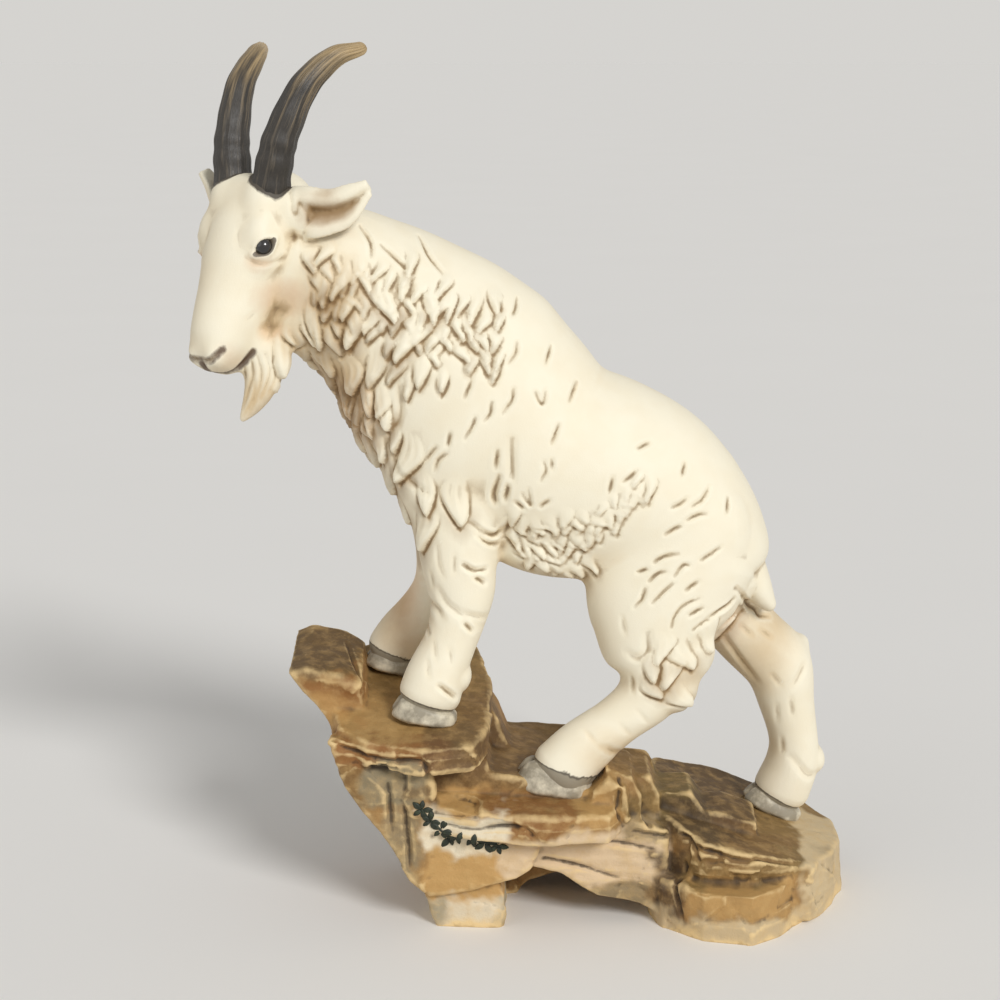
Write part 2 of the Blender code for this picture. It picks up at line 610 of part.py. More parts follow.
def flank_locks(skin, rows, side, seed):
    """Locks given by root x, z, tip x, z and width, carved on one flank from the lowest to the highest."""
    dice = random.Random(seed)
    for root, tip, width in sorted(rows, key=lambda row: row[0][1]):
        relief = LOCK_RELIEF * min(1.0, 0.45 + width / 11)
        curl = dice.uniform(0.4, 1.1) * dice.choice((-1, 1))
        lock(skin, skin.flank(*root, side), skin.flank(*tip, side), 1.12 * width, relief, curl)


def neck_locks(skin):
    """Overlapping wavy locks on the sides of the neck, and rows of them down the throat and chest."""
    side_locks = [
        ((-49.5, 193), (-48.5, 182), 6.2), ((-54, 192), (-51.5, 179), 5.2), ((-55.5, 182), (-55.5, 168), 5.2),
        ((-59, 177.5), (-56, 167), 3.6), ((-63.5, 174), (-62, 168), 3), ((-50.5, 173.5), (-50, 165), 4.8),
        ((-46, 181), (-44, 168), 6.2), ((-36, 190), (-36, 174.5), 7), ((-39.5, 182), (-39.5, 172), 4.8),
        ((-31, 190), (-31, 181), 3.8), ((-28, 183), (-29, 164), 8.8), ((-23, 188), (-22.5, 174.5), 4.8),
        ((-38.5, 169), (-39.5, 157), 6), ((-32.5, 168), (-33.5, 158), 3.8), ((-26, 168), (-26, 157), 4.4),
        ((-30, 162), (-30, 154), 3.4), ((-43.5, 164), (-40, 148), 4.8), ((-38.5, 147), (-38.5, 137), 3.8),
        ((-36.5, 157), (-37, 147.5), 3.8), ((-45, 154), (-43.5, 145), 3.8), ((-30.5, 196), (-27.5, 187.5), 4),
        ((-11.5, 185), (-11, 174.5), 3.4), ((-42, 195), (-42, 182.5), 3.8), ((-22, 169), (-22, 163.5), 2.8),
        ((-47, 185), (-47, 175.5), 4.2), ((-35, 174), (-34.5, 166), 4.2), ((-18.5, 185), (-18, 175), 3.8),
        ((-16, 177), (-15, 170), 3.2), ((-20, 163.5), (-20, 156), 3.4), ((-32, 182), (-34, 172), 3.8),
        ((-52.5, 166), (-51.5, 158), 3.8), ((-41.5, 153), (-40.5, 142), 3.8), ((-48.5, 161), (-47, 151), 4.4),
        ((-34, 147), (-33.5, 138), 3.6),
    ]
    for side in (-1, 1):
        flank_locks(skin, side_locks, side, 11 + side)
    dice = random.Random(12)
    frames = sections(torso_stations(), per_span=5)
    roots = []
    for i in range(30, len(frames) - 2, 3):
        centre, _, side, up, r_up, r_side = frames[i]
        count = round(1.7 * r_side / LOCK_WIDTH)
        for k in range(count):
            angle = math.radians(62) * (2 * (k + 0.5 * ((i // 3) % 2) + dice.uniform(-0.15, 0.35)) / count - 1)
            roots.append(centre + up * r_up * math.cos(angle) + side * r_side * math.sin(angle))
    roots.sort(key=lambda root: root[2])
    for root in roots:
        index = skin.tree.find(root)[1]
        root, normal = skin.points[index], skin.normals[index]
        heading = np.array((dice.uniform(-0.2, 0.2), dice.uniform(-0.15, 0.15), -1.0))
        heading -= normal * normal.dot(heading)
        length = LOCK_LENGTH * dice.uniform(0.75, 1.1)
        tip = skin.points[skin.tree.find(root + heading * length / np.linalg.norm(heading))[1]]
        lock(skin, root, tip, LOCK_WIDTH * dice.uniform(0.85, 1.15), LOCK_RELIEF * dice.uniform(0.8, 1.1),
             dice.uniform(-1.1, 1.1))


def lay_strokes(skin, lines, side, width, depth):
    for line in lines:
        skin.trace(line, side, width, depth)


def coat(skin):
    neck_locks(skin)
    shoulder = [
        [(-5.5, 178.5), (-6, 176), (-6.5, 174)], [(0.5, 181), (0, 178), (-1, 176.5)],
        [(-4.5, 180.5), (-4, 177)],
        [(-14.5, 174.5), (-15, 171.5)], [(-19, 172), (-19.5, 168.5), (-21, 166)], [(-4, 168), (-6.5, 166)],
        [(0.5, 169.5), (0, 166.5), (-2.5, 163.5)], [(-0.5, 157), (-1, 154), (-3.5, 150.5)],
        [(-6.5, 153.5), (-7, 150.5), (-8.5, 148.5)], [(-11, 149.5), (-12, 147), (-14, 143.5)],
        [(-22, 141), (-25.5, 136.5)], [(-19, 139.5), (-21.5, 137), (-22.5, 134)], [(-18, 145), (-19, 141)],
        [(5.5, 156), (7.5, 153), (8.5, 156.5)], [(-27, 198), (-24, 193), (-20, 188)],
        [(-37, 196), (-32, 191.5), (-29.5, 189)], [(-43, 201), (-40, 197), (-39.5, 193)],
        [(8, 137), (8.5, 134.5), (7, 131.5)], [(10, 137.5), (10, 134.5)], [(-5, 140), (-5.5, 135)],
        [(7, 124), (9.5, 126)], [(0, 125), (2.5, 123)], [(2, 127.5), (4, 124.5), (3.5, 129)],
        [(-12, 160), (-14, 155)], [(10, 168), (8.5, 163.5)], [(17, 158), (15, 153)], [(12, 147), (10, 142)],
    ]
    haunch = [
        [(34, 140), (37.5, 141.5)], [(47.5, 135.5), (46.5, 132)], [(30, 131), (32, 132.5), (34, 134)],
        [(27, 132.5), (26, 128)], [(43.5, 123.5), (46, 124.5), (48, 126)],
        [(47.5, 119.5), (50.5, 121), (53.5, 121.5)],
        [(42, 116), (44.5, 117.5), (47, 118.5)], [(49.5, 123.5), (52.5, 125.5), (54.5, 128.5)],
        [(39, 108), (41.5, 109.5), (45.5, 110.5)], [(52, 108.5), (55, 110), (58, 112)],
        [(37.5, 102.5), (39.5, 104.5), (42, 105.5)], [(44.5, 104), (47, 107), (49, 107)],
        [(48, 100), (51.5, 102.5)],
        [(38.5, 96.5), (41.5, 99.5), (44.5, 102.5)], [(36.5, 100.5), (35.5, 97.5), (33.5, 95)],
        [(44, 89.5), (45, 92.5), (47.5, 95.5), (52, 97.5)], [(49, 92.5), (53, 94.5)],
        [(50.5, 88), (53.5, 90), (56, 91)], [(60, 125), (59.5, 121)], [(34.5, 105), (37, 106)],
    ]
    for side in (-1, 1):
        lay_strokes(skin, shoulder + haunch, side, STROKE_WIDTH, STROKE_DEPTH)
        fringe(skin, side)
        breeches(skin, side)
    folds(skin)


def fringe(skin, side):
    """Two rows of pointed tufts along the belly, the upper hanging over the lower, and small ones above."""
    upper = [(0.5, 110), (4, 108.8), (7.5, 108), (10.5, 109), (13.5, 110), (16.5, 110), (19, 111),
             (21.5, 113.5), (24, 116.5), (26.5, 118), (29.3, 120.5), (31.8, 122.5), (34.5, 124.5), (38, 126)]
    lower = [(5, 104.5), (8.5, 103.5), (12, 102.5), (15.5, 101.8), (19, 102), (22.5, 104)]
    above = [(-0.5, 117.5), (3, 115), (7, 114.5), (11, 115.5), (14.5, 117.5), (18, 116.5)]
    rows = [((x - 1.8, z + 7.5), (x, z - 0.6), 4.0) for x, z in upper]
    rows += [((x - 1.5, z + 6.0), (x, z - 0.4), 4.2) for x, z in lower]
    rows += [((x - 0.8, z + 5.0), (x, z), 3.4) for x, z in above]
    flank_locks(skin, rows, side, 21 + side)


def breeches(skin, side):
    """Scalloped locks down the back of the thigh to the hock."""
    rows = [
        ((47.5, 85), (48.7, 75.5), 6.4), ((42.5, 87), (44, 78.7), 5.4), ((39, 84), (40.3, 76.3), 5.2),
        ((36.6, 79), (38, 71.8), 5.0), ((42.5, 79), (44, 71.7), 6.0), ((49, 77), (52, 68.2), 6.6),
        ((37.5, 73.5), (38.8, 67), 4.4), ((51, 90), (54.8, 82.5), 6.0), ((50.5, 84), (53, 75.5), 5.4),
        ((45.5, 71), (47, 63.8), 5.4), ((41, 70.5), (42.5, 64), 4.6), ((50, 70.5), (51.5, 64), 5.0),
    ]
    shift = 0 if side < 0 else 16  # the far leg stands further back
    moved = [((a + shift, b), (c + shift, d), width) for (a, b), (c, d), width in rows]
    flank_locks(skin, moved, side, 31 + side)


def folds(skin):
    """Creases at chest, armpit, elbow, knee, hock and tail, and the wrinkles behind the forearm."""
    soft = [
        [(-35, 138), (-30.5, 131), (-23.5, 127)], [(-32.5, 158), (-32, 150.5), (-34, 145), (-36.5, 139.5)],
        [(-22, 99.5), (-19.5, 95.5), (-15.5, 92.5), (-9, 87.5)], [(-27, 96), (-23.5, 94), (-20.5, 91)],
        [(-15.5, 93), (-12, 91.5), (-8, 90)], [(37.5, 87.5), (37, 82), (34.5, 80), (31.5, 81.5)],
        [(26, 53), (30, 50), (33, 52)], [(60, 82), (66, 73), (72, 65)], [(83, 41), (88, 35), (91, 34)],
        [(-1, 143), (-1, 136), (-1, 131)], [(86, 70), (83, 64)],
    ]
    sharp = [
        [(-12.5, 119), (-8.5, 115.5), (-5.5, 114.5), (-3, 117)], [(-11, 116), (-8, 113), (-5.5, 111.5)],
        [(-4.5, 132.5), (-6, 127.5), (-5.5, 124.5)], [(-2, 130), (-3, 125.5)], [(-1, 119.5), (-3.5, 114)],
        [(-14.5, 107), (-11.5, 105), (-8, 105)], [(-11.5, 103.5), (-8.5, 101), (-5, 100)],
        [(-14.5, 90), (-12, 87)], [(-24.5, 94), (-24.5, 86)], [(-21.5, 72), (-17, 67.5), (-13, 70)],
        [(54.5, 91), (58.5, 93), (60.5, 94), (62.5, 96)], [(62.5, 99), (69, 89), (72, 86), (75, 85)],
    ]
    lay_strokes(skin, soft, -1, 1.8 * STROKE_WIDTH, STROKE_DEPTH)
    lay_strokes(skin, sharp, -1, 1.3 * STROKE_WIDTH, 1.4 * STROKE_DEPTH)
    lay_strokes(skin, sharp[-2:], 1, 1.3 * STROKE_WIDTH, 1.4 * STROKE_DEPTH)


def features(skin, place):
    """Lids, nostrils, mouth and cheek creases, cut in the head's own frame on both sides."""
    m = MUZZLE_LENGTH
    for side in (-1, 1):
        ring = []
        for k in range(13):
            a = 2 * math.pi * k / 12
            ring.append((EYE[0] + 3.9 * math.cos(a), EYE[1] + 1.6 * math.sin(a), EYE[2] - 2.6 * math.sin(a)))
        lines = [
            (ring, 1.2, 0.8),
            ([(-4.0, 12.5, 4.6), (-7.0, 12.0, 3.6)], 1.2, 0.6),
            ([(11.5, 11.5, 5.0), (9.6, 13.0, -0.5), (4.0, 14.8, -2.0)], 1.4, 0.5),
            ([(m + 4, 0.5, -3.4), (m + 4.4, 3.6, -1.6), (m + 0.6, 7.2, 0.4)], 1.4, 1.3),
            ([(m + 3, 0.5, -7.2), (m + 2.5, 3.6, -9.0), (m - 4.3, 8.1, -8.6), (m - 7, 9.9, -8.2)], 1.3, 1.2),
            ([(24, 9.4, -1.2), (19.5, 10.3, -3.1)], 1.3, 0.6),
            ([(18, 10.5, -4.6), (11.5, 14, -6.5)], 1.4, 0.6),
            ([(26, 9.5, -11.0), (18, 11.4, -14.0)], 1.4, 0.8),
        ]
        for line, width, depth in lines:
            path = [place @ (Vector((a, side * b, c)) * MM) / MM for a, b, c in line]
            skin.groove(path, width, depth)


def chip_sites(skin):
    """Middles of the chipped faces and the way each one tilts."""
    dice = random.Random(41)
    low, high = skin.points.min(axis=0), skin.points.max(axis=0)
    step = np.array((CHIP, CHIP, 0.7 * CHIP))
    counts = np.ceil((high - low) / step).astype(int)
    sites = []
    for i in range(counts[0]):
        for j in range(counts[1]):
            for k in range(counts[2]):
                jitter = np.array([dice.random() for _ in range(3)])
                tilt = Vector([dice.uniform(-1, 1) for _ in range(3)])
                sites.append((low + (np.array((i, j, k)) + jitter) * step, tilt * CHIP_TILT))
    tree = KDTree(len(sites))
    for i, (middle, _) in enumerate(sites):
        tree.insert(middle, i)
    tree.balance()
    return sites, tree


def weather(skin):
    """Lumps, chipped faces and layers of the stone."""
    sites, tree = chip_sites(skin)
    for i, (point, normal) in enumerate(zip(skin.points, skin.normals)):
        here = Vector(point)
        lumps = noise.noise(here / 15.0) * 1.2 + noise.noise(here / 6.0 + Vector((5, 1, 2))) * 0.5
        middle, nearest, _ = tree.find(here)
        chip = (here - middle).dot(sites[nearest][1])
        bend = noise.noise(Vector((here.x / 28.0, here.y / 28.0, 3.0))) * 4.0
        layer = (here.z + bend + 0.08 * here.x) / STRATA
        tooth = layer - math.floor(layer)
        step = (tooth**2.2 - 0.4) if tooth < 0.86 else (0.35 - (tooth - 0.86) * 6)
        steep = max(0.0, 1 - abs(normal[2]) * 1.3)
        strength = 0.6 + noise.noise(here / 22.0 + Vector((9, 4, 7)))
        skin.lift[i] += lumps + chip + STRATA_RELIEF * step * steep * max(0.0, strength)


def split_stone(skin):
    """The deep cracks and recesses that part the front of the rock into slabs."""
    cracks = [
        [(-51.5, 57.5), (-46.5, 55), (-36, 53), (-26.5, 53.5), (-24.5, 49.5), (-24.7, 39)],
        [(-36, 45), (-35.5, 38), (-35, 31)], [(-31.3, 37.5), (-30.5, 28), (-30, 19)],
        [(34, 28.5), (42, 27), (50.3, 26.5), (53, 20)], [(51.5, 25.5), (62, 22.5), (74, 21), (83, 18.5)],
        [(-49.5, 76), (-46.5, 72), (-44.5, 67)], [(-24, 34), (-12, 33), (2, 34), (6, 30)],
        [(30, 44), (29.5, 36), (31, 30)], [(38.5, 43), (37, 34), (39, 29)], [(49, 19), (46, 12), (48, 4)],
    ]
    for line in cracks:
        for side in (-1, 1):
            skin.trace(line, side, CRACK_WIDTH, CRACK_DEPTH if side < 0 else 0.6 * CRACK_DEPTH)
    recesses = ((-17.5, 39, 6, 2.2, 2.4), (-38, 49, 2.4, 2.6, 1.8), (67, 10.5, 15, 6, 1.5))
    for x, z, half_x, half_z, depth in recesses:
        skin.dent(skin.flank(x, z, -1), (half_x, half_z), depth)


def leaf_sprigs(rock):
    """Two creeping sprigs whose leaflets lie on the pale band of the front face."""
    stone = Skin(rock)
    leaves = []
    for start, end in (((-29, 40.5), (-18, 27)), ((-15.5, 32), (-3.5, 22))):
        run = Vector((end[0] - start[0], end[1] - start[1]))
        lean = math.degrees(math.atan2(run.y, run.x))
        for k in range(4):
            share = (k + 0.5) / 4
            for hand in (-1, 1):
                across = Vector((-run.y, run.x)).normalized() * hand * 0.42 * LEAF_LENGTH
                spot = Vector(start) + run * share + across
                seat = stone.flank(spot.x, spot.y, -1)
                if seat is None:
                    continue
                bm = bmesh.new()
                bmesh.ops.create_icosphere(bm, subdivisions=1, radius=1.0)
                size = Matrix.Diagonal((0.46 * LEAF_LENGTH * MM, 1.3 * MM, 0.2 * LEAF_LENGTH * MM, 1))
                turn = Matrix.Rotation(-math.radians(lean + hand * 62), 4, "Y")
                where = Matrix.Translation(Vector(seat) * MM)
                bmesh.ops.transform(bm, matrix=where @ turn @ size, verts=bm.verts)
                leaves.append(add_object(f"leaf_{len(leaves)}", bm))
    return joined("sprigs", leaves)


def grind_flat(obj):
    """Everything below the table is ground away to a flat foot."""
    bm = bmesh.new()
    bmesh.ops.create_cube(bm, size=1.0)
    wide, deep = 0.4, 0.05
    bmesh.ops.scale(bm, vec=(wide, wide, deep), verts=bm.verts)
    bmesh.ops.translate(bm, vec=(0, 0, -deep / 2), verts=bm.verts)
    combine(obj, add_object("grindstone", bm), "DIFFERENCE")


def thin(obj, facets):
    mesh = obj.data
    triangles = sum(len(p.vertices) - 2 for p in mesh.polygons)
    less = obj.modifiers.new("thin", "DECIMATE")
    less.ratio = min(1.0, facets / triangles)
    less.use_collapse_triangulate = True
    settle(obj)


def glaze(obj):
    """Matte cream bisque."""
    material = bpy.data.materials.new("bisque")
    material.use_nodes = True
    shader = material.node_tree.nodes["Principled BSDF"]
    shader.inputs["Base Color"].default_value = (0.84, 0.74, 0.56, 1.0)
    shader.inputs["Roughness"].default_value = 0.62
    shader.inputs["Metallic"].default_value = 0.0
    obj.data.materials.clear()
    obj.data.materials.append(material)


def combine(obj, other, operation):
    """Adds another solid to the object, or cuts it away, and leaves one closed shell."""
    cut = obj.modifiers.new(other.name, "BOOLEAN")
    cut.operation = operation
    cut.solver = "EXACT"
    cut.object = other
    settle(obj)
    bpy.data.objects.remove(other)
    keep_largest_shell(obj)


def keep_largest_shell(obj):
    """Drops crumbs, and bubbles that are closed in where a hoof meets the stone."""
    bm = bmesh.new()
    bm.from_mesh(obj.data)
    left = set(bm.verts)
    shells = []
    while left:
        shell = {left.pop()}
        edge = list(shell)
        while edge:
            for link in edge.pop().link_edges:
                for v in link.verts:
                    if v in left:
                        left.remove(v)
                        shell.add(v)
                        edge.append(v)
        shells.append(shell)
    shells.sort(key=len)
    crumbs = [v for shell in shells[:-1] for v in shell]
    bmesh.ops.delete(bm, geom=crumbs, context="VERTS")
    bm.to_mesh(obj.data)
    bm.free()


def centre(obj):
    """Brings the middle of the footprint of the whole piece to X = Y = 0."""
    xs = [v.co.x for v in obj.data.vertices]
    ys = [v.co.y for v in obj.data.vertices]
    middle = Vector(((min(xs) + max(xs)) / 2, (min(ys) + max(ys)) / 2, 0))
    for v in obj.data.vertices:
        v.co -= middle


def main():
    for obj in list(bpy.data.objects):
        bpy.data.objects.remove(obj)
    goat = clay("goat", goat_masses(), CLAY_GRAIN, 5)
    ease_broad_forms(goat)
    skin = Skin(goat)
    coat(skin)
    features(skin, head_place())
    skin.finish()
    thin(goat, GOAT_FACETS)
    rock = clay("rock", rock_blocks(), ROCK_GRAIN, 2)
    stone = Skin(rock)
    weather(stone)
    stone.finish()
    stone = Skin(rock)
    split_stone(stone)
    stone.finish()
    thin(rock, ROCK_FACETS)
    grind_flat(rock)
    combine(rock, leaf_sprigs(rock), "UNION")
    combine(goat, rock, "UNION")
    centre(goat)
    glaze(goat)
    goat.name = "goat_figurine"
    goat.data.name = "goat_figurine"
    home = bpy.data.collections.new("goat_figurine")
    bpy.context.scene.collection.children.link(home)
    bpy.context.scene.collection.objects.unlink(goat)
    home.objects.link(goat)


main()
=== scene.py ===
# The finished look of a painted bisque porcelain figurine: a long-haired mountain goat on a stepped rock.
# The forms repeat those of the part and carve them finer. Sizes are in millimetres until a mesh is made.
import math
import random

import bmesh
import bpy
import numpy as np
from mathutils import Matrix, Vector, noise
from mathutils.bvhtree import BVHTree
from mathutils.kdtree import KDTree


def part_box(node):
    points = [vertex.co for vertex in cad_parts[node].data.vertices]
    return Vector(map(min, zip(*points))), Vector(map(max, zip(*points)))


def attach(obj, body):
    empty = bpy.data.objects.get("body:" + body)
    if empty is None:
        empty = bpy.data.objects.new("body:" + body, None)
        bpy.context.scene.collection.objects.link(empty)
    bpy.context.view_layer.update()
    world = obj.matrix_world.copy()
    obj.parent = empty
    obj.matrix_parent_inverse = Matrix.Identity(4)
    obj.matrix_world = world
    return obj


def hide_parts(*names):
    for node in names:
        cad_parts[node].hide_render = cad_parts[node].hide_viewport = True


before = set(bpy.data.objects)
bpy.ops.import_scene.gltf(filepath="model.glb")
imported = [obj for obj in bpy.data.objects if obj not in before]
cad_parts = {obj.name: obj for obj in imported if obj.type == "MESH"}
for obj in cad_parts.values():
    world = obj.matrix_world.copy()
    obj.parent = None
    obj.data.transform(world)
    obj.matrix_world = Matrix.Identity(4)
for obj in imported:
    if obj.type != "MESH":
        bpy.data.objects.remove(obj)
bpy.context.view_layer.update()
mm = 0.001
bodyName = "root"
cadNode = "goat_figurine"


# General helpers


def linearColour(hexText):  # sRGB hex to linear
    channels = [int(hexText[i:i + 2], 16) / 255 for i in (1, 3, 5)]
    return tuple(c / 12.92 if c <= 0.04045 else ((c + 0.055) / 1.055) ** 2.4 for c in channels) + (1.0,)


def addNode(tree, kind, settings=None, values=None, links=None, stops=None):
    node = tree.nodes.new(kind)
    for name, value in (settings or {}).items():
        setattr(node, name, value)
    for name, value in (values or {}).items():
        node.inputs[name].default_value = value
    for name, source in (links or {}).items():
        tree.links.new(source, node.inputs[name])
    for i, (place, colour) in enumerate(stops or []):  # a new ramp has two stops
        elements = node.color_ramp.elements
        stop = elements[i] if i < 2 else elements.new(place)
        stop.position = place
        stop.color = colour
    return node


def deselectAll():
    for obj in bpy.context.selected_objects:
        obj.select_set(False)


def makeActive(obj):
    deselectAll()
    obj.select_set(True)
    bpy.context.view_layer.objects.active = obj


def applyAll(obj):
    makeActive(obj)
    for modifier in list(obj.modifiers):
        bpy.ops.object.modifier_apply(modifier=modifier.name)


def joinParts(name, parts):
    makeActive(parts[0])
    for part in parts:
        part.select_set(True)
    bpy.ops.object.join()
    whole = bpy.context.view_layer.objects.active
    whole.name = name
    whole.data.name = name
    return whole


# Driving dimensions, in millimetres

stance = {"nearSide": -16.0, "farSide": 14.0, "foreLedge": 60.5, "hindLedge": 38.7, "tailLedge": 22.4,
          "shelfRise": 0.2}
goatForm = {"grain": 0.5, "halfWidth": 24.5, "neckFullness": 0.78, "tailLength": 19.0, "triangles": 186000}
headForm = {
    "middle": (-73.6, -6.0, 196.5), "yaw": 48.0, "pitch": 58.0, "muzzle": 33.5,
    "eye": (3.9, 12.1, 5.2), "eyeRadius": 2.5, "lidRise": 0.9, "beard": 22.0,
}
hornForm = {"root": 5.6, "tip": 1.9, "spread": 20.8, "ringCount": 9, "ringHeight": 0.22,
            "streakHeight": 0.16}
hoofForm = {"width": 16.5, "height": 9.0}
rockForm = {"grain": 0.65, "back": 34.0, "rounding": 1.2, "strata": 3.3, "relief": 0.8, "chip": 16.0,
            "chipTilt": 0.06, "crackWidth": 1.1, "crackDepth": 1.7, "footDepth": 2.5, "triangles": 150000}
leafForm = {"length": 3.2, "rise": 0.5}
coatForm = {"lockLength": 16.0, "lockWidth": 7.6, "lockRelief": 1.8, "strandRelief": 0.1,
            "strokeWidth": 1.05, "strokeDepth": 0.85}


# Lofts, lumps and blocks of clay

def smoothRows(rows, perSpan):
    rows = [np.array(row, float) for row in rows]
    padded = [2 * rows[0] - rows[1], *rows, 2 * rows[-1] - rows[-2]]
    out = []
    for i in range(1, len(padded) - 2):
        a, b, c, d = padded[i - 1:i + 3]
        for k in range(perSpan):
            t = k / perSpan
            out.append(0.5 * (2 * b + (c - a) * t + (2 * a - 5 * b + 4 * c - d) * t**2
                              + (3 * b - a - 3 * c + d) * t**3))
    out.append(rows[-1])
    return np.array(out)


# a station is x, y, z, radius in plane, radius across
def limbFrames(stations, perSpan=4, across=(0, 1, 0)):
    rows = smoothRows(stations, perSpan)
    path = rows[:, :3]
    frames = []
    for centre, tangent, row in zip(path, np.gradient(path, axis=0), rows):
        along = tangent / np.linalg.norm(tangent)
        side = np.array(across, float)
        side -= along * side.dot(along)
        side /= np.linalg.norm(side)
        frames.append((centre, along, side, np.cross(along, side), max(row[3], 0.2), max(row[4], 0.2)))
    return frames


def linkMesh(name, bm):
    mesh = bpy.data.meshes.new(name)
    bmesh.ops.recalc_face_normals(bm, faces=bm.faces)
    bm.to_mesh(mesh)
    bm.free()
    obj = bpy.data.objects.new(name, mesh)
    bpy.context.scene.collection.objects.link(obj)
    return obj


def limb(name, stations, sides=36, perSpan=6, across=(0, 1, 0), place=None, dome=0.75):
    frames = limbFrames(stations, perSpan, across)
    ends = []
    for sign, (centre, along, side, up, rUp, rSide) in ((-1, frames[0]), (1, frames[-1])):
        bulge = dome * min(rUp, rSide) * sign
        cap = []
        for degrees in (20, 40, 58, 74, 84):
            a = math.radians(degrees)
            shrink = math.cos(a)
            cap.append((centre + along * bulge * math.sin(a), side, up, rUp * shrink, rSide * shrink))
        ends.append((cap, centre + along * bulge))
    middle = [(c, s, u, ru, rs) for c, _, s, u, ru, rs in frames]
    placed = place or Matrix.Identity(4)
    bm = bmesh.new()
    rings = []
    for centre, side, up, rUp, rSide in ends[0][0][::-1] + middle + ends[1][0]:
        ring = []
        for k in range(sides):
            a = 2 * math.pi * k / sides
            point = centre + up * rUp * math.cos(a) + side * rSide * math.sin(a)
            ring.append(bm.verts.new(placed @ (Vector(point) * mm)))
        rings.append(ring)
    for low, high in zip(rings, rings[1:]):
        for k in range(sides):
            n = (k + 1) % sides
            bm.faces.new((low[k], low[n], high[n], high[k]))
    for ring, tip in ((rings[0], ends[0][1]), (rings[-1], ends[1][1])):
        pole = bm.verts.new(placed @ (Vector(tip) * mm))
        for k in range(sides):
            bm.faces.new((ring[k], ring[(k + 1) % sides], pole))
    return linkMesh(name, bm)


def lump(name, centre, radii, turn=(0, 0, 0), place=None):
    deselectAll()
    bpy.ops.mesh.primitive_uv_sphere_add(segments=40, ring_count=24, radius=1)
    obj = bpy.context.active_object
    obj.name = name
    rotation = Matrix.Rotation(math.radians(turn[2]), 4, "Z") @ Matrix.Rotation(
        math.radians(turn[1]), 4, "Y") @ Matrix.Rotation(math.radians(turn[0]), 4, "X")
    size = Matrix.Diagonal((*[r * mm for r in radii], 1))
    parent = place or Matrix.Identity(4)
    obj.data.transform(parent @ Matrix.Translation(Vector(centre) * mm) @ rotation @ size)
    return obj


# the head's own frame: X forward along the nose, Y to the goat's left, Z out of the forehead
def headPlace():
    yaw, pitch = math.radians(headForm["yaw"]), math.radians(headForm["pitch"])
    forward = Vector((-math.cos(pitch) * math.cos(yaw), -math.cos(pitch) * math.sin(yaw), -math.sin(pitch)))
    left = Vector((math.sin(yaw), -math.cos(yaw), 0))
    turn = Matrix((forward, left, forward.cross(left))).transposed().to_4x4()
    return Matrix.Translation(Vector(headForm["middle"]) * mm) @ turn




# Forms of the goat

def torsoStations():
    w, n = goatForm["halfWidth"], goatForm["neckFullness"]
    return [
        (61, 0, 98, 12, 0.55 * w), (58, 0, 104, 18, 0.72 * w), (50, 0, 112, 23.5, 0.88 * w),
        (36.5, 0, 122.2, 28.4, 0.95 * w), (22.6, 0, 128.2, 30.3, w), (8.5, 0, 133.5, 30, w),
        (-4.6, 0, 146, 32, w), (-15.2, -0.5, 155.5, 34, 0.98 * w), (-25.3, -1, 166.3, 31, 0.9 * w),
        (-35.2, -1.5, 175.2, 26.4, 25.6 * n), (-44.9, -2.5, 181.4, 23.6, 23.6 * n),
        (-54.4, -3.5, 186.7, 21.4, 21.4 * n), (-61, -4.5, 190, 17, 17 * n),
    ]


def legStations(foot, hip, rows):  # rows: share of the way up, offset along X, and the two radii
    out = []
    for share, offset, rUp, rSide in rows:
        x, y, z = (f + (h - f) * share for f, h in zip(foot, hip))
        out.append((x + offset, y, z, rUp, rSide))
    return out


def farForeLedge():
    return stance["foreLedge"] + stance["shelfRise"] * (stance["farSide"] - stance["nearSide"])


